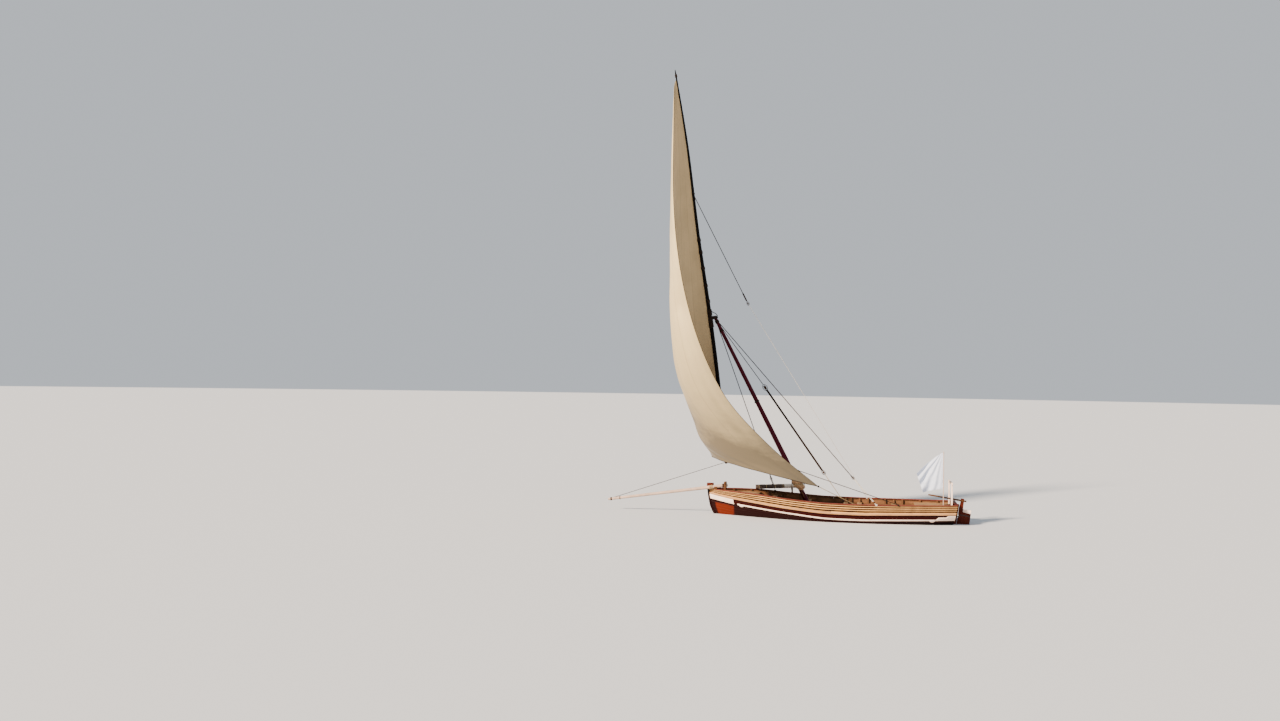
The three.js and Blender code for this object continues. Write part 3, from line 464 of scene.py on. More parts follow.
def merged_copy(node):
    """A copy of a frame node's mesh with its loose triangles joined."""
    bm = bmesh.new()
    bm.from_mesh(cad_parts[node].data)
    bm.verts.layers.float.new("tone")
    bmesh.ops.remove_doubles(bm, verts=bm.verts, dist=2e-5)
    flatten(bm)
    return bm


def flatten(bm):
    bmesh.ops.dissolve_limit(bm, angle_limit=radians(0.6), verts=bm.verts, edges=bm.edges)


def ease_edges(bm, width, segments=2, least=28):
    edges = [e for e in bm.edges if e.is_manifold and e.calc_face_angle(0) > radians(least)]
    bmesh.ops.bevel(
        bm, geom=edges, offset=width, segments=segments, profile=0.5, affect="EDGES", clamp_overlap=True,
        material=-1,
    )
    bmesh.ops.remove_doubles(bm, verts=bm.verts, dist=5e-5)
    bmesh.ops.dissolve_degenerate(bm, edges=bm.edges, dist=5e-5)
    bmesh.ops.delete(bm, geom=[e for e in bm.edges if not e.link_faces], context="EDGES")


def sawn(node, direction, cuts, gap, ease, least=28):
    """A frame node sawn into boards across a direction, each board with its edges eased."""
    whole = merged_copy(node)
    spread = [v.co.dot(direction) for v in whole.verts]
    bottom, top = min(spread), max(spread)
    bounds = [bottom - 1, *[c for c in sorted(cuts) if bottom + 0.02 < c < top - 0.02], top + 1]
    scratch = bpy.data.meshes.new("sawn")
    joined = bmesh.new()
    joined.verts.layers.float.new("tone")
    for i, (low, high) in enumerate(zip(bounds, bounds[1:])):
        board = whole.copy()
        for place, clear in ((low + gap / 2, "clear_inner"), (high - gap / 2, "clear_outer")):
            geometry = [*board.verts, *board.edges, *board.faces]
            cut = bmesh.ops.bisect_plane(
                board, geom=geometry, plane_co=direction * place, plane_no=direction, **{clear: True}
            )["geom_cut"]
            edges = of_kind(cut, bmesh.types.BMEdge)
            if edges:
                bmesh.ops.triangle_fill(board, edges=edges, use_beauty=True, use_dissolve=True)
        flatten(board)
        ease_edges(board, ease, 1, least)
        bmesh.ops.recalc_face_normals(board, faces=board.faces)
        tones = board.verts.layers.float["tone"]
        for v in board.verts:
            v[tones] = (i * 0.37 + 0.2) % 1
        board.to_mesh(scratch)
        joined.from_mesh(scratch)
        board.free()
    whole.free()
    bpy.data.meshes.remove(scratch)
    return joined


def eased_piece(name, node, width, finish, segments=2, **more):
    """A frame node with its edges eased, as a finished piece."""
    bm = merged_copy(node)
    ease_edges(bm, width, segments)
    return finish_piece(name, bm, finish, [node], **more)


# Materials

# The material of each finish
MATERIALS = {}
# A pattern's scale a metre, small along the fibres and large across them
LONG_UV, ALONG_X, ALONG_Y, ALONG_Z = (2.2, 70, 1), (2, 60, 60), (60, 2, 60), (55, 55, 2)


def give(tree, node, key, value):
    """Sets a node's input to a value, or links it to a socket or to the result of another node."""
    if isinstance(value, bpy.types.Node):
        value = next(socket for socket in value.outputs if socket.enabled)
    if isinstance(value, bpy.types.NodeSocket):
        tree.links.new(value, node.inputs[key])
    else:
        node.inputs[key].default_value = value


def add_node(tree, kind, inputs=None, **settings):
    """Adds a shader node with its settings, values and links."""
    made = tree.nodes.new("ShaderNode" + kind)
    for key, value in settings.items():
        setattr(made, key, value)
    for key, value in (inputs or {}).items():
        give(tree, made, key, value)
    return made


def set_ramp(ramp, *stops):
    elements = ramp.color_ramp.elements
    while len(elements) < len(stops):
        elements.new(0.5)
    for element, (position, value) in zip(elements, stops):
        element.position = position
        element.color = (*value, 1) if isinstance(value, tuple) else (value, value, value, 1)
    return ramp


def start_material(name, specular=0.08):
    """Dry wood, old paint and cloth give back less light than a default surface does."""
    material = bpy.data.materials.new(name)
    material.use_nodes = True
    tree = material.node_tree
    shader = tree.nodes["Principled BSDF"]
    shader.inputs["Specular IOR Level"].default_value = specular
    return material, partial(add_node, tree), partial(give, tree, shader)


def end_material(add, give_shader, tint, height, strength, distance, rough):
    """Gives the shader its colour, relief and roughness."""
    give_shader("Base Color", tint)
    give_shader("Normal", add("Bump", {"Height": height, "Strength": strength, "Distance": distance}))
    give_shader("Roughness", rough)


def shade(value, factor):
    return tuple(min(1, c * factor) for c in value)


MULTIPLY = {"data_type": "RGBA", "blend_type": "MULTIPLY"}


def wood_material(name, light, dark, grain=LONG_UV, coordinates="UV", rough=0.62, tone=0.35, seam=None):
    """Sawn wood: long grain, darker bands and a tone of its own for each plank.

    seam is the colour of the line that is painted over the joint between two planks.
    """
    material, add, shader = start_material(name)
    source = add("TexCoord").outputs[coordinates]
    placed = add("Mapping", {"Vector": source, "Scale": grain})
    # Fibres about 4 mm apart, drawn coarser than real so that they show
    fibre = add(
        "TexNoise", {"Vector": placed, "Scale": 1.0, "Detail": 7.0, "Roughness": 0.62, "Distortion": 0.5}
    )
    stain = add("TexNoise", {"Vector": source, "Scale": 1.7, "Detail": 4.0, "Roughness": 0.6})
    middle = tuple(mix(d, v, 0.6) for d, v in zip(dark, light))
    ramp = set_ramp(add("ValToRGB", {"Fac": fibre}), (0.28, dark), (0.46, middle), (0.62, light))
    own = add("Attribute", attribute_name="tone").outputs["Fac"]
    span = add("MapRange", {"Value": own, "To Min": 1 - tone, "To Max": 1 + tone * 0.3})
    darkening = add("MapRange", {"Value": stain, "From Min": 0.3, "From Max": 0.7, "To Min": 0.72, "To Max": 1.08})
    both = add("Math", {0: span, 1: darkening}, operation="MULTIPLY")
    final = add("Mix", {0: 1.0, 6: ramp, 7: both}, **MULTIPLY)
    if seam:
        edge = add("Attribute", attribute_name="edge").outputs["Fac"]
        wander = add("Math", {0: stain, 1: 0.08, 2: edge}, operation="MULTIPLY_ADD")
        # The line covers about 28 mm of each plank's edge
        line = add(
            "MapRange", {"Value": wander, "From Min": 0.32, "From Max": 0.36, "To Min": 1.0, "To Max": 0.0}
        )
        final = add("Mix", {0: line, 6: final, 7: (*seam, 1)}, data_type="RGBA")
    gloss = add("MapRange", {"Value": fibre, "To Min": rough + 0.12, "To Max": rough - 0.08})
    end_material(add, shader, final, fibre, 0.35, 0.004, gloss)
    return material


def bottom_coats(add, paint):
    """The bottom's paint: near black above water, which stands for wet wood and paints the shade on the
    bottom, red oxide below, and a bright patch at the bow.
    """
    source = add("TexCoord").outputs["Object"]
    x, _, z = add("SeparateXYZ", {0: source}).outputs
    cloud = add("TexNoise", {"Vector": source, "Scale": 3.0, "Detail": 4.0})
    wander = add("MapRange", {"Value": cloud, "To Min": -0.06, "To Max": 0.06})
    # The patch starts 4.38 m ahead of amidships, 0.1 m under the board, and stops 0.1 m short of the stem. It
    # is a painted panel whose brightness also paints the sunlight on the bow.
    ahead = add("Math", {0: x, 1: -4.38}, operation="ADD")
    board = add("Math", {0: x, 1: 0.142, 2: -0.19}, operation="MULTIPLY_ADD")
    under = add("Math", {0: board, 1: z}, operation="SUBTRACT")
    stem = add("Math", {0: z, 1: 0.3, 2: 5.16}, operation="MULTIPLY_ADD")
    behind = add("Math", {0: stem, 1: x}, operation="SUBTRACT")
    nearer = add("Math", {0: ahead, 1: behind}, operation="MINIMUM")
    inside = add("Math", {0: nearer, 1: under}, operation="MINIMUM")
    edge = add("Math", {0: inside, 1: wander}, operation="ADD")
    bright = add("MapRange", {"Value": edge, "From Min": -0.015, "From Max": 0.045})
    level = add("Math", {0: z, 1: wander}, operation="ADD")
    dry = add("MapRange", {"Value": level, "From Min": -0.13, "From Max": -0.06})
    # Above the water the coat is near black: wet wood, and painted shade on the bottom
    top = add("Mix", {0: dry, 6: paint, 7: (*linear("1c0403"), 1)}, data_type="RGBA")
    return add("Mix", {0: bright, 6: top, 7: (*linear("5a1b07"), 1)}, data_type="RGBA")


def paint_material(
    name, paint, bare, grain=LONG_UV, rough=0.5, wear=0.42, lower=None, split=0.53, coats=False
):
    """Oil paint brushed on wood: the grain telegraphs through, and it is worn to a paler coat and bare wood.

    A higher wear bares more of the wood. lower is a second colour where the edge attribute is below split.
    """
    material, add, shader = start_material(name)
    source = add("TexCoord").outputs["UV" if grain is LONG_UV else "Object"]
    placed = add("Mapping", {"Vector": source, "Scale": grain})
    fibre = add("TexNoise", {"Vector": placed, "Scale": 1.0, "Detail": 6.0, "Roughness": 0.6})
    patch = add("TexNoise", {"Vector": source, "Scale": 2.3, "Detail": 7.0, "Roughness": 0.68})
    chalk = add("ValToRGB", {"Fac": patch})
    coat = set_ramp(chalk, (0.25, shade(paint, 0.72)), (0.5, paint), (0.75, shade(paint, 1.18)))
    worn = add("Math", {0: patch, 1: fibre}, operation="MULTIPLY")
    mask = set_ramp(add("ValToRGB", {"Fac": worn}), (0.62 - wear * 0.55, 0.0), (0.66 - wear * 0.5, 1.0))
    if lower:
        edge = add("Attribute", attribute_name="edge").outputs["Fac"]
        wander = add("Math", {0: patch, 1: 0.1, 2: edge}, operation="MULTIPLY_ADD")
        upper = add("MapRange", {"Value": wander, "From Min": split - 0.03, "From Max": split + 0.03})
        coat = add("Mix", {0: upper, 6: (*lower, 1), 7: coat}, data_type="RGBA")
    if coats:
        coat = bottom_coats(add, coat)
    layered = add("Mix", {0: mask, 6: coat, 7: (*bare, 1)}, data_type="RGBA")
    gloss = add("MapRange", {"Value": mask, "To Min": rough, "To Max": 0.85})
    end_material(add, shader, layered, worn, 0.3, 0.003, gloss)
    return material


def rope_material(name, fibre):
    """Three-strand laid rope: the UV map counts diameters along it and turns round it."""
    material, add, shader = start_material(name)
    uv = add("TexCoord").outputs["UV"]
    # One strand goes round in 3.5 diameters
    phase = add("VectorMath", {0: uv, 1: (3 / 3.5 * pi, 3 * pi, 0)}, operation="DOT_PRODUCT")
    wave = add("Math", {0: phase.outputs["Value"]}, operation="SINE")
    strand = add("Math", {0: wave}, operation="ABSOLUTE")
    hair = add("TexNoise", {"Vector": uv, "Scale": 5.0, "Detail": 5.0})
    # The grooves between the strands are painted darker, as shade, and the strands' crowns paler, as painted
    # highlight
    ramp = add("ValToRGB", {"Fac": strand})
    set_ramp(ramp, (0.0, shade(fibre, 0.35)), (0.45, fibre), (1.0, shade(fibre, 1.2)))
    tinted = add("Mix", {0: 0.5, 6: ramp, 7: hair}, data_type="RGBA", blend_type="OVERLAY")
    end_material(add, shader, tinted, strand, 0.8, 0.004, 0.9)
    return material


def canvas_material(name, cloth, panel, darkening=0.8, tone_tint=None):
    """Plain-woven cotton canvas: cloths sewn edge to edge, the weave, creases and old stains.

    tone_tint is the colour that the tone attribute mixes in.
    """
    material, add, shader = start_material(name)
    uv = add("TexCoord").outputs["UV"]
    split = add("SeparateXYZ", {0: uv})
    cloths = add("Math", {0: split.outputs[1], 1: panel}, operation="DIVIDE")
    place = add("Math", {0: cloths}, operation="FRACT")
    # The seam is 40 mm wide, and the doubled cloth lets less light through
    seam = add("Math", {0: place, 1: 0.04 / panel}, operation="LESS_THAN")
    weave = add("TexWave", {"Vector": uv, "Scale": 60.0, "Distortion": 0.6, "Detail": 1.0}).outputs[0]
    cloud = add("TexNoise", {"Vector": uv, "Scale": 0.35, "Detail": 6.0, "Roughness": 0.62})
    streak = add("Mapping", {"Vector": uv, "Scale": (0.25, 2.2, 1)})
    streaks = add("TexNoise", {"Vector": streak, "Scale": 1.0, "Detail": 5.0, "Roughness": 0.6})
    ramp = add("ValToRGB", {"Fac": cloud})
    set_ramp(ramp, (0.3, shade(cloth, darkening)), (0.55, cloth), (0.75, shade(cloth, 1.06)))
    old = add(
        "MapRange", {"Value": streaks, "From Min": 0.3, "From Max": 0.7, "To Min": 0.88, "To Max": 1.04}
    )
    dark = add("MapRange", {"Value": seam, "To Min": 1.0, "To Max": 0.86})
    both = add("Math", {0: old, 1: dark}, operation="MULTIPLY")
    toned = add("Mix", {0: 1.0, 6: ramp, 7: both}, **MULTIPLY)
    if tone_tint:
        own = add("Attribute", attribute_name="tone").outputs["Fac"]
        tone_amount = add("Math", {0: own, 1: cloud}, operation="MULTIPLY")
        much = add("MapRange", {"Value": tone_amount, "From Min": 0.1, "From Max": 0.5})
        toned = add("Mix", {0: much, 6: toned, 7: (*tone_tint, 1)}, data_type="RGBA")
    raised = add("Math", {0: weave, 1: seam}, operation="ADD")
    end_material(add, shader, toned, raised, 0.25, 0.002, 0.92)
    shader("Sheen Weight", 0.15)
    return material


def iron_material(name, iron):
    """Forged iron: dark scale with rust in its pits."""
    material, add, shader = start_material(name, 0.5)
    source = add("TexCoord").outputs["Object"]
    pits = add("TexNoise", {"Vector": source, "Scale": 38.0, "Detail": 7.0, "Roughness": 0.7})
    ramp = add("ValToRGB", {"Fac": pits})
    set_ramp(ramp, (0.42, iron), (0.56, shade(iron, 1.5)), (0.7, linear("7a4026")))
    end_material(add, shader, ramp, pits, 0.5, 0.002, 0.62)
    shader("Metallic", 0.7)
    return material


def make_materials(colours):
    c = SimpleNamespace(**{name: tuple(getattr(colours, name)) for name in DhowColours.__annotations__})
    bare, brown, dark_timber = linear("a38a70"), linear("8a5a30"), shade(c.timber, 0.4)
    wood = partial(wood_material, coordinates="Object")
    MATERIALS.update(
        plank=wood_material("oiled_planks", c.plank, shade(c.plank, 0.5), rough=0.5, seam=linear("1c0803")),
        cream=paint_material("peach_cream_paint", c.cream, brown, wear=0.5, lower=c.maroon, split=0.33),
        white=paint_material("weathered_white_paint", c.white, bare, lower=c.maroon, split=0.13),
        white_posts=paint_material("white_post_paint", c.white, bare, ALONG_Z),
        maroon=paint_material(
            "maroon_paint", c.maroon, linear("7a3a24"), rough=0.42, wear=0.3, lower=linear("300a05")
        ),
        bottom=paint_material(
            "red_oxide_paint", c.bottom, linear("6c2415"), rough=0.55, wear=0.4, coats=True
        ),
        keel=paint_material(
            "red_oxide_keel_paint", c.bottom, linear("5a1c10"), ALONG_X, 0.55, 0.3, coats=True
        ),
        dark_red=paint_material("dark_red_paint", c.dark_red, linear("5e3a30"), rough=0.45, wear=0.3),
        capping=paint_material("worn_rail_paint", c.capping, linear("d39a78"), wear=0.5),
        red_block=paint_material("rudder_paint", c.rudder, linear("8a5a3c"), ALONG_Z),
        timber_x=wood("bare_timber_lengthwise", c.timber, dark_timber, ALONG_X, rough=0.75),
        timber_z=wood("bare_timber_upright", c.timber, dark_timber, ALONG_Z, rough=0.75),
        deck_x=wood("deck_boards", c.deck, shade(c.deck, 0.5), ALONG_X, rough=0.8),
        deck_y=wood("thwart_boards", c.deck, shade(c.deck, 0.5), ALONG_Y, rough=0.7),
        pole=wood_material("peeled_pole", c.pole, shade(c.pole, 0.6), (3, 40, 1), rough=0.6, tone=0.15),
        spar=wood_material("tarred_spar", c.spar, shade(c.spar, 0.4), (2, 45, 1), rough=0.7, tone=0.2),
        canvas=canvas_material("bleached_canvas", c.canvas, 0.62, tone_tint=linear("655b48")),
        # The hollow face's canvas is painted darker and browner, as painted shade
        canvas_inside=canvas_material("smoked_canvas", c.shaded_inner_cloth, 0.62, tone_tint=linear("8c7758")),
        old_canvas=canvas_material("stained_canvas", shade(c.canvas, 0.8), 0.5, 0.6),
        roll_canvas=canvas_material("rolled_canvas", linear("f0e6d6"), 0.5, 0.85),
        bundle=canvas_material("tan_bundle_cloth", linear("c89c72"), 0.5, 0.6),
        tarpaulin=canvas_material("grey_brown_tarpaulin", linear("5d5048"), 0.9, 0.7),
        flag=canvas_material("pale_flag_cloth", c.flag, 2.0, 0.86),
        rope=rope_material("natural_rope", c.rope),
        pale_rope=rope_material("pale_rope", linear("c6bfb2")),
        tarred=rope_material("tarred_rope", c.tarred),
        iron=iron_material("forged_iron", c.iron),
        block=wood("block_wood", linear("5a3a26"), linear("2c1a12"), (30, 30, 90), rough=0.6),
    )


# Hull

# For each point of a plank's ring: how far it is from the nearer edge, and how far up the plank
FROM_EDGE = (0, 0.05, 0.5, 0.05, 0, 0, 0)
UP_PLANK = (0, 0.05, 0.5, 0.95, 1, 1, 0)
# The point of that ring from which on it is the plank's back
PLANK_BACK = 4
# The points round a rail: share from its foot to its top, and share of its reach
RAIL_FACE = ((0, 0.001), (0, 0.7), (0.06, 0.92), (0.2, 1), (0.8, 1), (0.94, 0.92), (1, 0.7), (1, 0.001))
# The points round the capping: out from the hull's edge, and up from it
CAPPING = (
    (0.014, 0.0004), (0.022, 0.008), (0.022, 0.024), (0.014, 0.032), (-0.087, 0.032), (-0.095, 0.024),
    (-0.095, 0.0004),
)


def plank_ring(along, low, high, side, sizes, seam):
    """Points round one plank at a station: its face with eased edges, then its back."""
    ends = low(along), high(along)
    outs = (-seam, 0, sizes.crown, 0, -seam, -sizes.plank, -sizes.plank)
    return [skin(along, mix(*ends, share), out, side) for share, out in zip(UP_PLANK, outs)]


def strakes(bm, rows, side, sizes, seam, first, edge):
    """Strakes between rows, each of planks that meet at staggered butts."""
    for k, (low, high) in enumerate(zip(rows, rows[1:]), first):
        butts = [0, 0.27 + 0.11 * (k % 3), 0.62 + 0.09 * ((k + 1) % 3), 1]
        for n, ends in enumerate(pieces_between(butts, 0.0002)):
            rings = [plank_ring(a, low, high, side, sizes, seam) for a in ends]
            loft(bm, rings, tone=(k * 0.41 + n * 0.29) % 1, edge=edge, back=PLANK_BACK)


def pieces_between(joints, gap):
    """The stations of each length of timber between two joints, held a gap off the joints inside."""
    for start, end in zip(joints, joints[1:]):
        yield places(start + gap * (start > 0), end - gap * (end < 1))


def band_ring(along, low, high, side, reach):
    """Points round a rail on the planking, with its outer edges rounded."""
    ends = low(along), high(along)
    return [skin(along, mix(*ends, share), reach * out, side) for share, out in RAIL_FACE]


class DHOW_OT_planking(bpy.types.Operator):
    """Planks the bottom, the maroon band and the upper hull, and nails the planks"""

    bl_idname = "dhow.planking"
    bl_label = "Planking"

    def execute(self, context):
        sizes = context.scene.dhow_hull
        low_middle, high_middle = row("low", LOWER_WALE / 2), row("high", UPPER_WALE / 2)
        keel, sheer = (lambda along: 0.0), (lambda along: 1.0)
        bottom = [share_of(keel, low_middle, share) for share in steps(sizes.strakes)]
        band = [low_middle, high_middle]

        def upper_row(share):
            def up(along):
                here = station(along)
                return up_at(along, mix(here["high"] + UPPER_WALE, here["sheer"], share))

            return up

        # Under the capping, the top plank's upper seam line also paints the capping's shadow
        upper = [high_middle, *[upper_row(i / 4) for i in (1, 2, 3)], sheer]
        for name, side in SIDES.items():
            for k, (piece, node, finish, rows, seam, edge) in enumerate((
                ("bottom_strakes", "bottom_planking", "bottom", bottom, sizes.seam / 2, FROM_EDGE),
                ("maroon_band", "maroon_strake", "maroon", band, sizes.seam / 2, UP_PLANK),
                ("upper_strakes", "upper_planking", "plank", upper, sizes.seam, FROM_EDGE),
            )):
                bm = new_mesh()
                strakes(bm, rows, side, sizes, seam, k, edge)
                finish_piece(f"{piece}_{name}", bm, (finish, "timber_x"), [f"{node}_{name}"])
            self.nails(upper, name, side, sizes.nail)
        return {"FINISHED"}

    def nails(self, rows, name, side, size):
        bm = new_mesh()
        for x in FRAMES_AT:
            for k, (low, high) in enumerate(zip(rows, rows[1:])):
                for share, shift in ((0.25, -0.018), (0.75, 0.018)):
                    # The upper rail hides the lowest row
                    if not k and share < 0.5:
                        continue
                    along = along_at(x + shift, 0.7)
                    up = mix(low(along), high(along), share)
                    turn = outward(along, up)
                    turn.y *= side
                    stud(bm, skin(along, up, 0.0025, side), facing(turn), 7, size, size * 0.7, 0.004)
        finish_piece(f"plank_nails_{name}", bm, "iron")


class DHOW_OT_rails(bpy.types.Operator):
    """Fits the lower and upper rails, the capping and the bare boards at bow and quarter"""

    bl_idname = "dhow.rails"
    bl_label = "Rails and boards"

    def execute(self, context):
        reach = context.scene.dhow_hull.wale
        low, low_top = row("low"), row("low", LOWER_WALE)
        high, high_top = row("high"), row("high", UPPER_WALE)
        board_top = row("high", -0.002)

        def stepped(along):
            """The top of a board that is cut down forward in two rounded steps."""
            cut = 0.34 * covered(along, 0.028, 0.008) + 0.34 * covered(along, 0.066, 0.005)
            return mix(board_top(along), low(along), cut)

        # The maroon of the band laps on to the two rails beside it
        lower_lap, upper_lap = [1 - share for share, _ in RAIL_FACE], [share for share, _ in RAIL_FACE]
        # The lower rail runs between the two boards, and its paint changes close to the forward one
        lower_stops = sorted({*places(0.0751, 0.8949), 0.8775, 0.879, 0.893, 0.8945})
        panel_stops = [mix(0, 0.075, share) for share in steps(40)]

        def lower_edge(i, j):
            """Between its scroll and the name board the rail has the band's maroon."""
            return 0 if 0.8785 < lower_stops[i] < 0.8935 else lower_lap[j]

        for name, side in SIDES.items():
            for piece, node, bottom, top, stops, finish, edge in (
                ("lower_rail", "white_wale", low, low_top, lower_stops, "white", lower_edge),
                ("upper_rail", "upper_wale", high, high_top, places(0, 1), "cream", upper_lap),
                ("bow_board", "name_board", low, board_top, places(0.895, 1), "white", (1,)),
                ("quarter_panel", "quarter_board", low, stepped, panel_stops, "white", (1,)),
            ):
                bm = new_mesh()
                loft(bm, [band_ring(a, bottom, top, side, reach) for a in stops], tone=0.6, edge=edge)
                if piece == "lower_rail":
                    for ends in ((0.079, 0.101), (0.852, 0.873)):
                        self.scroll(bm, side, ends, reach)
                finish_piece(f"{piece}_{name}", bm, finish, [f"{node}_{name}"])
            bm = new_mesh()
            for n, ends in enumerate(pieces_between((0, 0.36, 0.71, 1), 0.0003)):
                loft(bm, [self.capping(a, side) for a in ends], tone=0.3 + 0.25 * n)
            finish_piece(f"capping_{name}", bm, "capping", [f"cap_rail_{name}"])
        return {"FINISHED"}

    def scroll(self, bm, side, ends, reach):
        """A carved scroll that hangs under the rail, rounded at both ends."""
        rings = []
        for share in steps(16):
            full = max(0, sin(pi * share)) ** 0.7
            low, high = row("low", -0.052 * full), row("low", LOWER_WALE * 0.6)
            rings.append(band_ring(mix(*ends, share), low, high, side, reach + 0.004 + 0.008 * full))
        loft(bm, rings, tone=0.6, edge=(1,))

    def capping(self, along, side):
        point, flat = hull_point(along, 1), outward(along, 1)
        flat = Vector((flat.x, flat.y, 0)).normalized()
        ring = []
        for out, lift in CAPPING:
            moved = point + flat * out
            ring.append(Vector((moved.x, side * max(moved.y, HALF_KEEL), point.z + lift)))
        return ring


class DHOW_OT_backbone(bpy.types.Operator):
    """Shapes keel, stem, sternpost, transom and rail ends from the frame's own timbers"""

    bl_idname = "dhow.backbone"
    bl_label = "Backbone"

    def execute(self, context):
        for name, node, width, finish in (
            ("keel_timber", "keel", 0.012, "keel"),
            ("stem_timber", "stem_post", 0.012, "keel"),
            ("stem_cap", "stem_head", 0.02, "red_block"),
            ("stern_timber", "stern_post", 0.012, "red_block"),
            ("taffrail_board", "taffrail", 0.008, "red_block"),
            ("keelson_timber", "keelson", 0.012, "timber_x"),
        ):
            eased_piece(name, node, width, finish)
        board = sawn("transom", Z, [-0.1, 0.08, 0.26, 0.44, 0.62, 0.8], 0.0006, 0.003)
        finish_piece("transom_boards", board, "red_block", ["transom"])
        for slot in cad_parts["frames"].material_slots:
            slot.material = MATERIALS["timber_z"]
        return {"FINISHED"}


class DHOW_OT_inside(bpy.types.Operator):
    """Lays the floor boards, thwarts with their knees, and both decks"""

    bl_idname = "dhow.inside"
    bl_label = "Inside"

    def execute(self, context):
        width = context.scene.dhow_hull.board
        cuts = [width * (i + 0.5) for i in range(-10, 10)]
        for node, name in (
            ("floor_boards", "floor_planks"),
            ("fore_deck", "fore_deck_planks"),
            ("aft_deck", "aft_deck_planks"),
        ):
            finish_piece(name, sawn(node, Y, cuts, 0.005, 0.003), "deck_x", [node])
        knees = new_mesh()
        for i in range(1, 6):
            low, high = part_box(f"thwart_{i}")
            x = (low.x + high.x) / 2
            bm = sawn(f"thwart_{i}", X, [x], 0.004, 0.006)
            finish_piece(f"thwart_boards_{i}", bm, "deck_y", [f"thwart_{i}"])
            for side in SIDES.values():
                self.knee(knees, x, high.z, side)
        finish_piece("thwart_knees", knees, "timber_z")
        return {"FINISHED"}

    def knee(self, bm, x, seat, side):
        """A grown knee on a thwart's end, up the inside of the planking."""
        along = along_at(x, seat)
        top = station(along)["sheer"] - 0.02
        foot, middle = seat + 0.002, (seat + top) / 2
        a, b, c = (skin(along, up_at(along, z), -0.046, 1).y for z in (foot, middle, top))
        outline = (
            (a - 0.30, foot), (a - 0.004, foot), (b - 0.004, middle), (c - 0.004, top), (c - 0.075, top),
            (b - 0.10, middle), (a - 0.15, seat + 0.07), (a - 0.29, seat + 0.045),
        )
        loft(bm, [[Vector((x + shift, side * y, z)) for y, z in outline] for shift in (-0.032, 0.032)])


# Spars and sail

MAST = (Vector((0.563, 0, -0.400)), Vector((5.475, 0, 9.120)))
MAST_RADII = (0.122, 0.066)
# The mast stands in its step at this height
MAST_FOOT = -0.368
YARD_LINE = (
    (4.840, -0.100, 2.300), (5.205, 0.020, 5.780), (5.650, 0.120, 9.050), (6.220, 0.520, 12.970),
    (6.670, 1.100, 16.910), (7.180, 1.600, 20.220),
)
YARD_RADII = ((0, 0.070), (0.35, 0.092), (0.6, 0.078), (1, 0.034))
YARD_JOINT = 0.46
# The fish lies beside the lap of the yard's two spars, between these shares of the yard
FISH, FISH_OFF = (0.41, 0.58), Vector((0.035, -0.130, 0))
# For each row of the sail: its place on the yard, its leech, and the pulls on its luff and its leech
SAIL_ROWS = (
    (0.02, (0.540, 1.850, 1.590), (1.700, 2.500, 0.300), (2.300, 1.900, 0.700)),
    (0.12, (2.590, 2.810, 3.360), (2.300, 1.500, -0.500), (2.300, 0.900, -0.300)),
    (0.26, (4.560, 3.650, 5.680), (2.250, 1.300, -0.350), (2.250, 0.300, -0.300)),
    (0.40, (5.800, 4.020, 8.590), (1.850, 1.300, -0.200), (1.550, -0.300, -0.200)),
    (0.55, (6.510, 3.690, 11.440), (1.230, 1.000, -0.100), (0.850, -0.700, 0)),
    (0.72, (6.900, 3.000, 14.200), (0.740, 0.700, 0), (0.450, -0.700, 0)),
    (0.88, (7.110, 2.110, 17.280), (0.400, 0.330, 0), (0.190, -0.300, 0)),
    (0.975, (7.190, 1.690, 19.350), (0.090, 0.060, 0), (0.040, -0.050, 0)),
)
# How far off the yard's middle the sail begins, as a share of its width
LUFF = 0.012
YARD_STEPS = 600
# The yard's length in metres, and the shares of it between which the sail is tied on
YARD_LENGTH, ROBANDS = 18.2, (0.045, 0.965)


def even_curve(points, count):
    """A smooth curve through points, whose pull follows the root of their distances, cut to even steps."""
    points = [Vector(p) for p in points]
    points = [points[0] * 2 - points[1], *points, points[-1] * 2 - points[-2]]
    fine = []
    for p0, p1, p2, p3 in zip(points, points[1:], points[2:], points[3:]):
        d0, d1, d2 = ((b - a).length ** 0.5 for a, b in ((p0, p1), (p1, p2), (p2, p3)))
        t1 = ((p1 - p0) / d0 - (p2 - p0) / (d0 + d1) + (p2 - p1) / d1) * d1
        t2 = ((p2 - p1) / d1 - (p3 - p1) / (d1 + d2) + (p3 - p2) / d2) * d1
        c2, c3 = p1 * -3 + p2 * 3 - t1 * 2 - t2, p1 * 2 - p2 * 2 + t1 + t2
        fine += [p1 + t1 * t + c2 * t * t + c3 * t**3 for t in steps(60)[:-1]]
    fine.append(points[-2])
    run = distances(fine)
    even, k = [], 0
    for i in range(count + 1):
        target = run[-1] * i / count
        while k < len(run) - 2 and run[k + 1] < target:
            k += 1
        even.append(fine[k].lerp(fine[k + 1], (target - run[k]) / (run[k + 1] - run[k])))
    return even


YARD = even_curve(YARD_LINE, YARD_STEPS)
yard_radius = smooth_curve(YARD_RADII)


def yard_at(share):
    place = min(max(share, 0), 1) * YARD_STEPS
    k = min(int(place), YARD_STEPS - 1)
    return YARD[k].lerp(YARD[k + 1], place - k)


def yard_way(share):
    return (yard_at(share + 0.004) - yard_at(share - 0.004)).normalized()


def yard_coil(bm, share, turns, radius, per_arc=8):
    """Rope wound round the yard alone."""
    ring_coil(bm, yard_at(share), yard_way(share), yard_radius(share), turns, radius, per_arc)


def over_rows(pick):
    """A curve over the sail's height, through one number of each of its rows."""
    return smooth_curve([(k / (len(SAIL_ROWS) - 1), pick(line)) for k, line in enumerate(SAIL_ROWS)])


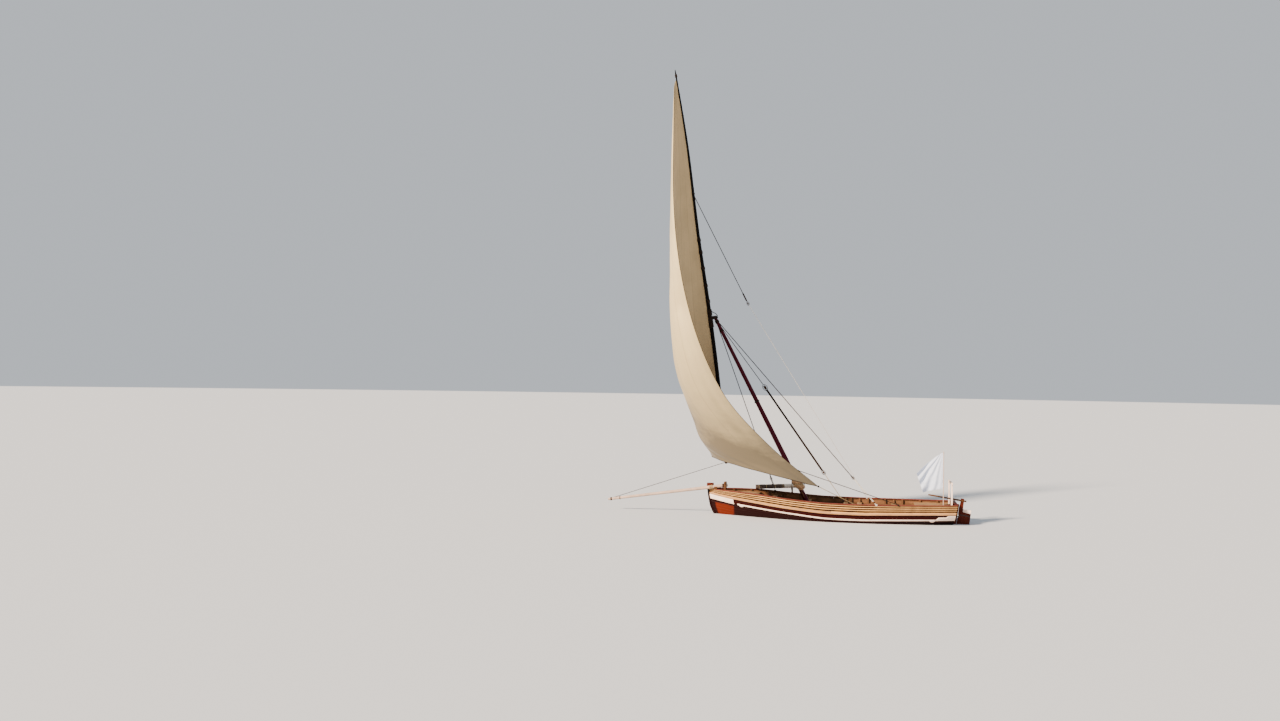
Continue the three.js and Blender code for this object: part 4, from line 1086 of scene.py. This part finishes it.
LUFF_CURVE = over_rows(lambda line: line[0])
LEECH, LUFF_PULL, LEECH_PULL = (
    [over_rows(lambda line: line[column][axis]) for axis in range(3)] for column in (1, 2, 3)
)


@lru_cache(maxsize=None)
def sail_row(height):
    start = yard_at(LUFF_CURVE(height))
    end, first, second = (Vector([c(height) for c in curves]) for curves in (LEECH, LUFF_PULL, LEECH_PULL))
    return start, start + first, end + second, end


def sail_at(height, across):
    return sum((p * w for p, w in zip(sail_row(height), cubic_weights(across))), Vector())


def sail_out(height, across):
    step = 1e-3
    over = sail_at(height, min(across + step, 1)) - sail_at(height, max(across - step, 0))
    up = sail_at(min(height + step, 1), across) - sail_at(max(height - step, 0), across)
    return over.cross(up).normalized()


def mast_at(z):
    """The mast's middle and radius at a height."""
    share = (z - MAST[0].z) / (MAST[1].z - MAST[0].z)
    # The spar is a little stouter above the bundle than its plain taper
    return MAST[0].lerp(MAST[1], share), mix(*MAST_RADII, share) * mix(1, 1.14, covered(z, 1.75, 1.2))


class DHOW_OT_spars(bpy.types.Operator):
    """Sets up the mast, the yard of two lashed spars and the bowsprit"""

    bl_idname = "dhow.spars"
    bl_label = "Mast, yard and bowsprit"

    def execute(self, context):
        rig = context.scene.dhow_rig
        self.mast(rig.lashing)
        self.yard(rig.lashing, rig.roband)
        self.bowsprit(rig.lashing)
        return {"FINISHED"}

    def mast(self, lash):
        bm = new_mesh()
        heights = [mix(MAST_FOOT, MAST[1].z, share) for share in steps(70)]
        radii = [mast_at(z)[1] * (0.97 + 0.03 * wobble(z * 1.3, 0, 2)) for z in heights]
        radii[-1] *= 0.8
        tube(bm, [mast_at(z)[0] for z in heights], radii, 28)
        finish_piece("mast_spar", bm, "dark_red", ["mast"])
        way = (MAST[1] - MAST[0]).normalized()
        bm = new_mesh()
        for z, turns in ((8.86, 6), (8.45, 4), (1.95, 5), (5.2, 3)):
            centre, radius = mast_at(z)
            ring_coil(bm, centre, way, radius + 0.001, turns, lash)
        finish_piece("mast_lashings", bm, "tarred")
        bm = new_mesh()
        centre, radius = mast_at(1.05)
        for side in (-1, 1):
            foot = centre + Y * (side * (radius + 0.002))
            horns = ((-0.17, 0.055, 0.014), (-0.06, 0.03, 0.026), (0.06, 0.03, 0.026), (0.17, 0.055, 0.014))
            tube(bm, [foot + way * d + Y * (side * off) for d, off, _ in horns], [r for _, _, r in horns], 10)
            tube(bm, [foot - Y * (side * 0.02), foot + Y * (side * 0.03)], 0.03, 10)
        finish_piece("mast_cleats", bm, "timber_z")

    def yard(self, lash, spacing):
        for name, start, end, count in (("lower", 0, YARD_JOINT, 46), ("upper", YARD_JOINT + 0.0002, 1, 54)):
            bm = new_mesh()
            shares = [mix(start, end, share) for share in steps(count)]
            radii = [yard_radius(u) * (0.975 + 0.03 * wobble(u * 30, 3, 1)) for u in shares]
            if name == "upper":
                radii[-1] *= 0.5
            else:
                radii[0] *= 0.8
            tube(bm, [yard_at(u) for u in shares], radii, 20)
            finish_piece(f"yard_{name}_spar", bm, "spar", [f"yard_{name}"], body="rig")
        bm = new_mesh()
        radii = [mix(0.03, 0.053, min(1, 6 * t * (1 - t))) for t in steps(24)]
        tube(bm, [yard_at(mix(*FISH, t)) + FISH_OFF for t in steps(24)], radii, 16)
        finish_piece("yard_doubling", bm, "spar", ["yard_fish"], body="rig")
        bm = new_mesh()
        for share, turns in ((0.415, 7), (0.455, 6), (0.5, 6), (0.54, 6), (0.572, 6)):
            centre = yard_at(share)
            coil(bm, centre, centre + FISH_OFF, yard_radius(share), 0.052, yard_way(share), turns, lash)
        for share in (0.03, 0.985):
            yard_coil(bm, share, 6, lash)
        # Serving where the two spars' ends lap and the sling bears
        for share, turns in ((0.3605, 13), (0.3865, 8)):
            yard_coil(bm, share, turns, 0.017, 10)
        finish_piece("yard_lashings", bm, "tarred", body="rig")
        bm = new_mesh()
        count = int(YARD_LENGTH * (ROBANDS[1] - ROBANDS[0]) / spacing)
        for share in (mix(*ROBANDS, t) for t in steps(count - 1)):
            # The sling bears on the yard here
            if 0.37 < share < 0.395:
                continue
            lapped = FISH[0] < share < FISH[1]
            centre, radius = yard_at(share), yard_radius(share)
            second = centre + (FISH_OFF if lapped else X * 1e-4)
            coil(bm, centre, second, radius, 0.05 if lapped else radius, yard_way(share), 2, 0.006, 5, 7)
        finish_piece("sail_robands", bm, "tarred", slot="rope", body="rig")

    def bowsprit(self, lash):
        inboard, tip = Vector((4.720, 0.250, 1.347)), Vector((10.350, 0.250, 0.485))
        way = (tip - inboard).normalized()
        bm = new_mesh()
        count = 60
        lumps = [0.95 + 0.03 * max(0, wobble(i * 0.37, 5, 0)) for i in range(count + 1)]
        radii = [mix(0.080, 0.062, t) * lump for t, lump in zip(steps(count), lumps)]
        radii[0] *= 0.85
        radii[-1] *= 0.82
        tube(bm, straight(inboard, tip, count), radii, 24)
        finish_piece("bowsprit_pole", bm, "pole", ["bowsprit"])
        bm = new_mesh()
        low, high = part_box("bowsprit_lashing")
        x = (low.x + high.x) / 2
        z = mix(inboard.z, tip.z, (x - inboard.x) / (tip.x - inboard.x))
        coil(bm, Vector((x, 0.11, z - 0.03)), Vector((x, 0.25, z)), 0.035, 0.078, way, 7, lash)
        finish_piece("bowsprit_turns", bm, "rope", ["bowsprit_lashing"])
        bm = new_mesh()
        for share, turns in ((0.975, 4), (0.9, 2), (0.035, 5)):
            ring_coil(bm, inboard.lerp(tip, share), way, mix(0.079, 0.061, share), turns, 0.008)
        finish_piece("bowsprit_bands", bm, "tarred")
        eased_piece("bow_bitt_timber", "bow_bitt", 0.008, "timber_z")
        eased_piece("bowsprit_chock_block", "bowsprit_chock", 0.008, "timber_z")


class DHOW_OT_sail(bpy.types.Operator):
    """Hangs the lateen sail on the yard, with its bolt ropes and patches"""

    bl_idname = "dhow.sail"
    bl_label = "Sail"

    def execute(self, context):
        rig = context.scene.dhow_rig
        rows, columns = 120, 64
        bm = new_mesh()
        widths = [mix(LUFF, 1, share) for share in steps(columns)]
        rings = [[self.cloth(height, across) for across in widths] for height in steps(rows)]
        ways = {}
        for face in loft(bm, rings, closed=False, tone=self.darkening):
            face.normal_update()
            ways[self.cell(bm, face)] = face.normal.copy()
        thicken(bm, rig.cloth)
        bmesh.ops.recalc_face_normals(bm, faces=bm.faces)
        # The side that the wind bellies out takes the canvas, and the hollow side takes the second finish: a
        # darker, browner copy of the canvas that paints the shade on the hollow side and the warm light
        # coming through the cloth
        belly = sail_at(0.4, 0.5) - (sail_at(0.4, 0) + sail_at(0.4, 1)) / 2
        convex_first = sum(ways.values(), Vector()).dot(belly) > 0
        for face in bm.faces:
            way = ways.get(self.cell(bm, face))
            face.material_index = int(way is not None and (face.normal.dot(way) > 0) != convex_first)
        sail = finish_piece("lateen_sail", bm, ("canvas", "canvas_inside"), ["sail"], body="rig", sharp=60)
        bm = new_mesh()
        rope(bm, [self.cloth(0, mix(LUFF, 1, share)) for share in steps(50)], rig.bolt_rope)
        # The head rope is stouter above the lap of the two spars, and its dark bulk also paints the shade
        # that the yard casts on the sail beside it
        radii = [mix(0.008, 0.021, covered(height, 0.33, 0.05)) for height in steps(rows)]
        loft(bm, tube_rings([self.cloth(height, LUFF) for height in steps(rows)], radii, 8), rope=0.04)
        rope(bm, [self.cloth(height, 1) for height in steps(90)], rig.bolt_rope * 0.7)
        knot(bm, self.cloth(0, 1), 0.045)
        knot(bm, self.cloth(0, LUFF) - Z * 0.01, 0.04)
        edging = finish_piece("sail_bolt_ropes", bm, "tarred", body="rig")
        bm = new_mesh()
        for height, across, tall, wide in (
            (0.45, 0.09, 0.012, 0.03), (0.62, 0.12, 0.008, 0.05), (0.3, 0.55, 0.014, 0.035),
        ):
            heights, widths = [height + tall * i for i in steps(4)], [across + wide * j for j in steps(4)]
            rings = [[self.cloth(up, over, 0.004) for over in widths] for up in heights]
            loft(bm, rings, closed=False)
        thicken(bm, 0.008)
        bmesh.ops.recalc_face_normals(bm, faces=bm.faces)
        patches = finish_piece("sail_patches", bm, "old_canvas", body="rig")
        return {"FINISHED"}

    def cloth(self, height, across, lift=0.0):
        """A point of the sail, with the soft creases that run out of its corners."""
        crease = wobble(across * 7, height * 26, 0.3) * 0.012
        pull = exp(-height * 9) * sin(across * 34 + height * 55) * 0.014
        scallop = -0.02 * exp(-across * 22) * sin(height * 118) ** 2
        hold = min(1, 12 * (across - LUFF)) * min(1, 14 * (1.001 - across))
        # The leech's hem pulls a groove into the lower cloth, 0.28 m in from the edge
        from_edge = (1 - across) * (sail_at(height, 1) - sail_at(height, 0)).length
        groove = -0.06 * exp(-(((from_edge - 0.28) / 0.13) ** 2)) * covered(-height, -0.36, 0.1)
        raised = (crease + pull + scallop + groove) * hold + lift
        return sail_at(height, across) + sail_out(height, across) * raised

    def cell(self, bm, face):
        """The place of a face on the cloth, in millimetres, which both of the cloth's sides share."""
        uv = bm.loops.layers.uv.active
        middle = sum((corner[uv].uv for corner in face.loops), Vector((0, 0))) / len(face.loops)
        return round(middle.x * 1000), round(middle.y * 1000)

    def darkening(self, height, across):
        """How far the cloth is darkened and browned: most at the foot and at the clew."""
        return 1.15 * exp(-((height / 0.33) ** 2)) + 0.2 * exp(-across * 9)


# Ropes and blocks

# The sling's height, the vang's block, and where the tack line is made fast on the bowsprit
SLING, VANG_BLOCK, TACK = 9.040, Vector((3.870, 0.400, 9.660)), Vector((10.250, 0.250, 0.518))
# How far along the yard the vang bears, and how high on the leech the second sheet does
VANG_AT, CRINGLE_AT = 0.69, 0.058


def pulley(bm, centre, way, size):
    """A wooden block: two cheeks and a sheave between them on its pin."""
    turn = facing(way)
    for side in (-1, 1):
        made = bmesh.ops.create_uvsphere(bm, u_segments=16, v_segments=10, radius=size)["verts"]
        for v in made:
            v.co = Vector((v.co.x * 0.68, v.co.y * 0.42, v.co.z))
        geometry = [*made, *{e for v in made for e in v.link_edges}, *{f for v in made for f in v.link_faces}]
        cut = bmesh.ops.bisect_plane(
            bm, geom=geometry, plane_co=Y * (side * size * 0.14), plane_no=Y * -side, clear_outer=True
        )
        bmesh.ops.holes_fill(bm, edges=of_kind(cut["geom_cut"], bmesh.types.BMEdge), sides=0)
        kept = of_kind(cut["geom"], bmesh.types.BMVert)
        bmesh.ops.transform(bm, matrix=Matrix.Translation(centre) @ turn, verts=kept)
    for radius, depth in ((size * 0.55, size * 0.2), (size * 0.12, size * 0.86)):
        stud(bm, centre, turn @ Matrix.Rotation(pi / 2, 4, "X"), 18, radius, radius, depth)


def strop(bm, centre, way, size, radius):
    """A ring of rope round a block."""
    flat = way.cross(Y).normalized()
    turns = [*circle(24), 2 * pi]
    rope(bm, [centre + way * (1.04 * size * cos(t)) + flat * (0.7 * size * sin(t)) for t in turns], radius, 6)


def rail_top(x):
    """The height of the capping's top."""
    return station(along_at(x, 0.9))["sheer"] + 0.033


def blended(name, bm, finish, start, end, replaces=(), slot=None):
    """A finished piece that joins the hull to the rig and gives between them."""
    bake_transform(finish_piece(name, bm, finish, replaces, slot, None), "hull", "rig", start=start, end=end)


class DHOW_OT_rigging(bpy.types.Operator):
    """Rigs the halyard tackle, stays, sling, vang, sheet and tack line"""

    bl_idname = "dhow.rigging"
    bl_label = "Rigging"

    def execute(self, context):
        self.halyard()
        self.stays(context.scene.dhow_rig.stay)
        self.sling()
        self.vang()
        self.sheets()
        return {"FINISHED"}

    def halyard(self):
        top, foot = Vector((5.235, 0, 8.890)), Vector((-0.585, 0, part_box("thwart_3")[1].z))
        way = (foot - top).normalized()
        blocks = (top.lerp(foot, 0.37), 0.14), (top.lerp(foot, 0.83), 0.1)
        (upper, _), (lower, _) = blocks
        bm = new_mesh()
        rope(bm, straight(mast_at(8.9)[0], upper - way * 0.15, 8), 0.016)
        for x, y in ((-0.036, -0.02), (-0.036, 0.02), (0, 0), (0.036, -0.02), (0.036, 0.02)):
            shift = Vector((x, y, 0))
            rope(bm, straight(upper + way * 0.1 + shift, lower - way * 0.1 + shift, 10), 0.014)
        for centre, size in blocks:
            strop(bm, centre, way, size * 1.04, 0.012)
        for at in (0.2, 0.28):
            ring_coil(bm, foot - way * at, way, 0.02, 6, 0.009)
        finish_piece("halyard_ropes", bm, "tarred", ["halyard_tackle"])
        bm = new_mesh()
        rope(bm, straight(lower + way * 0.1, foot + way * 0.01, 6), 0.014)
        finish_piece("halyard_pendant", bm, "rope", ["halyard_tackle"])
        bm = new_mesh()
        for centre, size in blocks:
            pulley(bm, centre, way, size)
        finish_piece("halyard_blocks", bm, "block", ["halyard_tackle"])

    def stays(self, thick):
        for name, node, head, foot, tackle, fall, finish in (
            ("backstay", "backstay_port", (5.385, 0, 8.965), (-1.900, 1.390), 0.135, 0.010, "pale_rope"),
            ("shroud", "shroud_starboard", (5.420, 0, 9.000), (2.680, -1.270), 0.07, 0.016, "tarred"),
        ):
            head, foot = Vector(head), Vector((*foot, rail_top(foot[0])))
            way = (foot - head).normalized()
            low = head.lerp(foot, 1 - tackle)
            bm = new_mesh()
            rope(bm, straight(head, low, 16), thick)
            strop(bm, low, way, 0.075, 0.008)
            ring_coil(bm, low - way * 0.12, way, thick, 6, 0.006)
            finish_piece(f"{name}_rope", bm, "tarred", [node], "rope")
            bm = new_mesh()
            pulley(bm, low, way, 0.07)
            pulley(bm, foot - way * 0.13, way, 0.055)
            finish_piece(f"{name}_blocks", bm, "block", [node])
            bm = new_mesh()
            for shift in (X * -0.022, X * 0.022):
                rope(bm, straight(low + shift + way * 0.05, foot - way * 0.16 + shift, 8), fall)
            rope(bm, straight(foot - way * 0.09, foot + way * 0.01, 3), 0.012)
            inward = -0.02 if foot.y > 0 else 0.02
            hitch(bm, foot + Vector((0, inward, -0.016)), Y * 0.045, 5)
            finish_piece(f"{name}_tackle", bm, finish, [node], "rope")

    def sling(self):
        p, q = mast_at(SLING)[0], min(YARD, key=lambda point: abs(point.z - SLING))
        bm = new_mesh()
        coil(bm, p, q, 0.078, 0.093, (0.31, 0, 0.95), 5, 0.014)
        knot(bm, p + Vector((-0.095, 0.02, 0)), 0.042)
        # A loop of the sling's end, up behind the yard
        loop = ((-0.095, 0.02, 0), (-0.11, 0.05, 0.09), (-0.04, 0.08, 0.18), (0.09, 0.1, 0.25))
        rope(bm, even_curve([*(p + Vector(v) for v in loop), q + Vector((-0.06, 0.07, 0.3))], 20), 0.018)
        blended("yard_sling_turns", bm, "tarred", p, q, ["yard_sling"], "rope")

    def vang(self):
        top, block = yard_at(VANG_AT), VANG_BLOCK
        foot = Vector((-1.500, -1.400, rail_top(-1.5)))
        way, lower = (block - top).normalized(), (foot - block).normalized()
        bm = new_mesh()
        rope(bm, straight(top, block - way * 0.07, 24), 0.017)
        rope(bm, straight(block - way * 0.52, block - way * 0.14, 6), 0.034)
        yard_coil(bm, VANG_AT, 3, 0.009)
        strop(bm, block, way, 0.085, 0.008)
        blended("vang_upper_rope", bm, "tarred", foot, top, ["vang"], "rope")
        bm = new_mesh()
        pulley(bm, block, way, 0.075)
        blended("vang_block", bm, "block", foot, top, ["vang"])
        bm = new_mesh()
        rope(bm, straight(block + lower * 0.06, foot, 40), 0.008)
        hitch(bm, foot + Vector((0, 0.015, -0.016)), Y * 0.035, 3)
        blended("vang_fall", bm, "pale_rope", foot, top, ["vang"])

    def sheets(self):
        low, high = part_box("thwart_2")
        clew, seat = sail_at(0, 1), Vector((-1.180, 0.700, high.z))
        bm = new_mesh()
        rope(bm, straight(clew, seat + Z * 0.012, 16), 0.014)
        middle, half = (low.z + high.z) / 2, (high.z - low.z) / 2 - 0.002
        ends = [Vector((seat.x + reach, seat.y, middle)) for reach in (-0.085, 0.085)]
        coil(bm, *ends, half, half, Y, 4, 0.011)
        blended("sheet_rope", bm, "rope", seat, clew, ["sheet"])
        # A second sheet from a cringle in the leech, made fast on the port quarter
        cringle = sail_at(CRINGLE_AT, 1)
        rail = hull_point(0.228, 1) + Vector((0, -0.036, 0.016))
        bm = new_mesh()
        rope(bm, straight(cringle, rail + Z * 0.022, 24), 0.015)
        hitch(bm, rail, Y * 0.045, 4)
        knot(bm, cringle, 0.03)
        blended("leech_sheet", bm, "tarred", rail, cringle)
        heel = yard_at(0.004)
        bm = new_mesh()
        rope(bm, straight(TACK, heel, 24), 0.012)
        ring_coil(bm, yard_at(0.01), yard_way(0.01), 0.066, 4, 0.011)
        blended("tack_rope", bm, "tarred", TACK, heel, ["tack_line"])


# Stern and gear

# Where the rudder's pintle line crosses the waterline
PINTLES = Vector((-5.36777, 0, 0))


class DHOW_OT_stern(bpy.types.Operator):
    """Hangs the rudder with its irons and tiller, and sets the stern frame"""

    bl_idname = "dhow.stern"
    bl_label = "Rudder and stern frame"

    def execute(self, context):
        lean = atan(TRANSOM_RAKE)
        ahead, up = Vector((cos(lean), 0, -sin(lean))), Vector((sin(lean), 0, cos(lean)))
        cuts = [PINTLES.dot(ahead) - d for d in (0.14, 0.29, 0.43)]
        blade = sawn("rudder_blade", ahead, cuts, 0.004, 0.004, 35)
        finish_piece("rudder_boards", blade, "red_block", ["rudder_blade"], body="rudder")
        eased_piece("rudder_top", "rudder_cap", 0.01, "white_posts", slot="cream_paint", body="rudder")
        eased_piece("tiller_bar", "tiller", 0.014, "timber_x", 3, body="rudder")
        bm = new_mesh()
        for z in (-0.600, 0.420, -0.180):
            for side in (-1, 1):
                centre = PINTLES + up * z - ahead * 0.26 + Y * (side * 0.0335)
                for v in bmesh.ops.create_cube(bm, size=1)["verts"]:
                    v.co = centre + ahead * (v.co.x * 0.44) + Y * (v.co.y * 0.006) + up * (v.co.z * 0.05)
                turn = Matrix.Rotation(-side * pi / 2, 4, "X")
                for k in range(4):
                    spot = centre + ahead * (0.18 - 0.12 * k) + Y * (side * 0.004)
                    stud(bm, spot, turn, 8, 0.011, 0.008, 0.006)
        finish_piece("rudder_straps", bm, "iron", body="rudder")
        # A round nosing on the pintle line, left open at the two gudgeons, closes the gap to the post
        bm = new_mesh()
        for low, high in ((-0.445, 0.285), (0.395, 0.85)):
            line = straight(PINTLES + up * (low / up.z), PINTLES + up * (high / up.z), 5)
            tube(bm, line, [0.024, 0.032, 0.032, 0.032, 0.032, 0.024], 18)
        finish_piece("rudder_nosing", bm, "red_block", body="rudder")
        for node in ("gudgeon_low", "gudgeon_high"):
            eased_piece(f"{node}_iron", node, 0.002, "iron", 1)
        eased_piece("stern_posts", "stern_frame", 0.008, "white_posts")
        return {"FINISHED"}


class DHOW_OT_flag(bpy.types.Operator):
    """Flies the bare flag on its staff"""

    bl_idname = "dhow.flag"
    bl_label = "Flag"

    def execute(self, context):
        low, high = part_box("flagstaff")
        middle = (low + high) / 2
        bm = new_mesh()
        line = straight(*(Vector((middle.x, middle.y, z)) for z in (low.z, high.z)), 24)
        tube(bm, line, [mix(0.019, 0.0145, share) for share in steps(24)], 12)
        for z in (1.66, 3.13):
            ring_coil(bm, Vector((middle.x, middle.y, z)), Z, 0.017, 3, 0.004)
        staff = finish_piece("flag_pole", bm, "pole", ["flagstaff"])
        bm = new_mesh()
        rows, columns = 60, 56
        rings = [[self.cloth(out, up, middle) for up in steps(columns)] for out in steps(rows)]
        loft(bm, rings, closed=False)
        thicken(bm, 0.004)
        flag = finish_piece("bare_flag", bm, "flag", ["flag"], sharp=60)
        return {"FINISHED"}

    def cloth(self, out, up, staff):
        """A point of the flag: its hoist stands on the staff, and its fly sags and ripples in the wind."""
        far_x, far_z = mix(-3.870, -3.590, up), mix(1.420, 2.240, up)
        swell = 0.070 * out * sin(2.2 * pi * out + 0.8 * up)
        # Folds fan out from the hoist's top corner, which carries the cloth's weight
        fan = 19 * atan2(1.1 - up, out + 0.06) + 1.5 * wobble(out * 2, up * 2, 8)
        fold = 0.05 * min(1, 3 * out) * (0.35 + 0.65 * out) * sin(fan)
        fine = 0.02 * out * wobble(out * 6, up * 7, 4)
        z = mix(mix(1.610, 3.160, up), far_z, out**1.2)
        return Vector((mix(staff.x + 0.019, far_x, out), staff.y + swell + fold + fine, z))


class DHOW_OT_gear(bpy.types.Operator):
    """Stows the rolled spare sail on its crutch and gathers the bundle at the mast"""

    bl_idname = "dhow.gear"
    bl_label = "Spare sail and bundle"

    def execute(self, context):
        start = Vector((1.300, -1.050, 1.330))
        end = Vector((3.560, -0.980, rail_top(3.5) + 0.098))
        way = (end - start).normalized()
        first = across_of(way)
        second = way.cross(first)
        ties = (0.08, 0.26, 0.44, 0.6, 0.78, 0.93)
        # Each ring's place along the roll and its share of the full width: the ends are dished
        dish = (0.5, 0.72, 0.78, 0.92)
        spans = [(0, full) for full in dish] + [(t, 1) for t in steps(90)]
        spans += [(1, full) for full in dish[::-1]]
        rings = []
        for share, full in spans:
            pinch = 1 - 0.13 * max(exp(-(((share - t) * 45) ** 2)) for t in ties)
            dent = -0.012 if full in (0.72, 0.5) else 0.0
            centre = start.lerp(end, share) + way * (-dent if share == 0 else dent)
            ring = []
            for turn in circle(36):
                fold = 0.05 * wobble(share * 9, cos(turn) * 1.7, sin(turn) * 1.7)
                lip = 0.02 if 0.2 < turn < 0.4 else 0
                r = 0.1 * full * pinch * (1 + fold + lip)
                ring.append(centre + first * (r * cos(turn)) + second * (r * sin(turn)))
            rings.append(ring)
        split = next(i for i, (share, full) in enumerate(spans) if share > 0.42 and full == 1)
        over = [[p + (p - (ring[0] + ring[18]) / 2) * 0.03 for p in ring] for ring in rings[split - 1 :]]
        for name, part, finish in (
            ("spare_sail", rings[: split + 1], "roll_canvas"), ("spare_sail_cover", over, "tarpaulin"),
        ):
            bm = new_mesh()
            loft(bm, part)
            finish_piece(name, bm, finish, ["spare_sail_roll"], sharp=60)
        bm = new_mesh()
        for t in ties:
            ring_coil(bm, start.lerp(end, t), way, 0.09, 3, 0.006, 10)
        finish_piece("spare_sail_ties", bm, "rope")
        eased_piece("roll_crutch", "crutch", 0.006, "timber_z")
        self.bundle()
        return {"FINISHED"}

    def bundle(self):
        """Cloth gathered round the mast and tied, in deep upright folds."""
        centre, mast_radius = mast_at(1.48)
        rings = []
        for t in steps(30):
            z = centre.z + mix(-0.245, 0.245, t)
            middle = mast_at(z)[0]
            wide = max(0.0, 1 - (2 * t - 1) ** 2) ** 0.5
            waist = 1 - 0.2 * exp(-(((t - 0.52) * 9) ** 2))
            ring = []
            for turn in circle(72):
                spot = Vector((cos(turn), sin(turn), t))
                lump = 0.16 * noise.noise(spot * 1.3 + Vector((3, 1, 7)))
                fold = 0.10 * wobble(spot.x * 3.4, spot.y * 3.4, t * 2.2 + 0.8 * sin(turn)) + lump
                deep = 0.11 * abs(sin(4.5 * turn + 5 * t + 2 * noise.noise(spot * 2))) ** 1.5
                r = max(mast_radius + 0.012, 0.272 * wide * waist * (1 + fold - deep))
                ring.append(Vector((middle.x + r * cos(turn), middle.y + r * sin(turn), z + 0.02 * fold)))
            rings.append(ring)
        bm = new_mesh()
        loft(bm, rings)
        finish_piece("mast_bundle_cloth", bm, "bundle", ["mast_bundle"], sharp=60)
        bm = new_mesh()
        ring_coil(bm, mast_at(1.49)[0], Z, 0.212, 3, 0.009, 16)
        finish_piece("mast_bundle_tie", bm, "rope")


# Stage

# The camera's place, and where its right, its top and its back point
CAMERA_PLACE = (-1.5413, 45.9372, 5.9463)
CAMERA_AXES = ((-0.97473, -0.2229, 0.01495), (0.00948, 0.02559, 0.99963), (-0.2232, 0.97451, -0.02283))
# A focal length of 1000 pixels on a picture 1280 pixels wide
SENSOR, FOCAL = 36, 36 * 1000 / 1280


class DHOW_OT_stage(bpy.types.Operator):
    """Lays the floor round the hull at its waterline, and sets the lights and the camera"""

    bl_idname = "dhow.stage"
    bl_label = "Stage"

    def execute(self, context):
        self.floor()
        self.lights()
        self.camera()
        return {"FINISHED"}

    def floor(self):
        """A pale floor with a hole that follows the waterline, so that none of it lies in the boat."""
        outline = [skin(along, up_at(along, 0.0), -0.02, 1) for along in steps(80)]
        outline[-1].x += 0.02
        outline = [Vector((p.x, p.y, 0)) for p in outline]
        outline += [Vector((p.x, -p.y, 0)) for p in reversed(outline[:-1])]
        bm = bmesh.new()
        verts = [bm.verts.new(p) for p in outline]
        edges = [bm.edges.new((a, b)) for a, b in zip(verts, [*verts[1:], verts[0]])]
        # Each ring is wider than the last, from the boat's outline out to a circle
        for scale in (1.6, 4, 12, 60):
            made = bmesh.ops.extrude_edge_only(bm, edges=edges)["geom"]
            edges, ring = of_kind(made, bmesh.types.BMEdge), of_kind(made, bmesh.types.BMVert)
            middle = sum((v.co for v in ring), Vector()) / len(ring)
            for v in ring:
                far = v.co - middle
                v.co = middle + (far * scale).lerp(far.normalized() * (9 * scale), min(1, scale / 12))
        bmesh.ops.recalc_face_normals(bm, faces=bm.faces)
        if sum(face.normal.z for face in bm.faces) < 0:
            bmesh.ops.reverse_faces(bm, faces=bm.faces)
        mesh = bpy.data.meshes.new("floor")
        bm.to_mesh(mesh)
        bm.free()
        floor = put("floor", mesh)
        material, _, shader = start_material("pale_floor")
        shader("Base Color", (*linear("c8ccd0"), 1))
        shader("Roughness", 0.8)
        mesh.materials.append(material)

    def lights(self):
        world = bpy.data.worlds.new("studio")
        bpy.context.scene.world = world
        world.use_nodes = True
        sky = world.node_tree.nodes["Background"]
        sky.inputs["Color"].default_value = (*linear("dfe5ec"), 1)
        sky.inputs["Strength"].default_value = 0.8
        for name, energy, angle, way, tint in (
            ("key_sun", 13.0, 6, (-0.59, -0.64, -0.49), "ffe8d0"),
            ("fill_sun", 0.3, 40, (0.5, -0.7, -0.35), "eaf1ff"),
        ):
            light = bpy.data.lights.new(name, "SUN")
            light.energy = energy
            light.angle = radians(angle)
            light.color = linear(tint)
            lamp = put(name, light)
            lamp.rotation_mode = "QUATERNION"
            lamp.rotation_quaternion = Vector(way).to_track_quat("-Z", "Y")
            lamp.location = (0, 0, 25)

    def camera(self):
        data = bpy.data.cameras.new("camera")
        data.sensor_width = SENSOR
        data.lens = FOCAL
        data.clip_end = 2000
        camera = put("camera", data)
        camera.matrix_world = Matrix.Translation(CAMERA_PLACE) @ Matrix(CAMERA_AXES).transposed().to_4x4()
        bpy.context.scene.camera = camera


OPERATORS = (
    DHOW_OT_stage, DHOW_OT_planking, DHOW_OT_rails, DHOW_OT_backbone, DHOW_OT_inside, DHOW_OT_spars,
    DHOW_OT_sail, DHOW_OT_rigging, DHOW_OT_stern, DHOW_OT_flag, DHOW_OT_gear,
)


class DHOW_PT_panel(bpy.types.Panel):
    """Lists the dhow's pieces in the order that they are built"""

    bl_label = "Dhow"
    bl_idname = "DHOW_PT_panel"
    bl_space_type = "VIEW_3D"
    bl_region_type = "UI"
    bl_category = "Dhow"

    def draw(self, context):
        for group in (context.scene.dhow_hull, context.scene.dhow_rig, context.scene.dhow_colours):
            box = self.layout.box()
            for name in group.__annotations__:
                box.prop(group, name)
        for operator in OPERATORS:
            self.layout.operator(operator.bl_idname)


CLASSES = (DhowHullSizes, DhowRigSizes, DhowColours, *OPERATORS, DHOW_PT_panel)


def register():
    for item in CLASSES:
        bpy.utils.register_class(item)
    bpy.types.Scene.dhow_hull = PointerProperty(type=DhowHullSizes)
    bpy.types.Scene.dhow_rig = PointerProperty(type=DhowRigSizes)
    bpy.types.Scene.dhow_colours = PointerProperty(type=DhowColours)


def unregister():
    for name in ("dhow_hull", "dhow_rig", "dhow_colours"):
        delattr(bpy.types.Scene, name)
    for item in reversed(CLASSES):
        bpy.utils.unregister_class(item)


def main():
    register()
    make_materials(bpy.context.scene.dhow_colours)
    for operator in OPERATORS:
        group, name = operator.bl_idname.split(".")
        getattr(getattr(bpy.ops, group), name)()


if __name__ == "__main__":
    main()
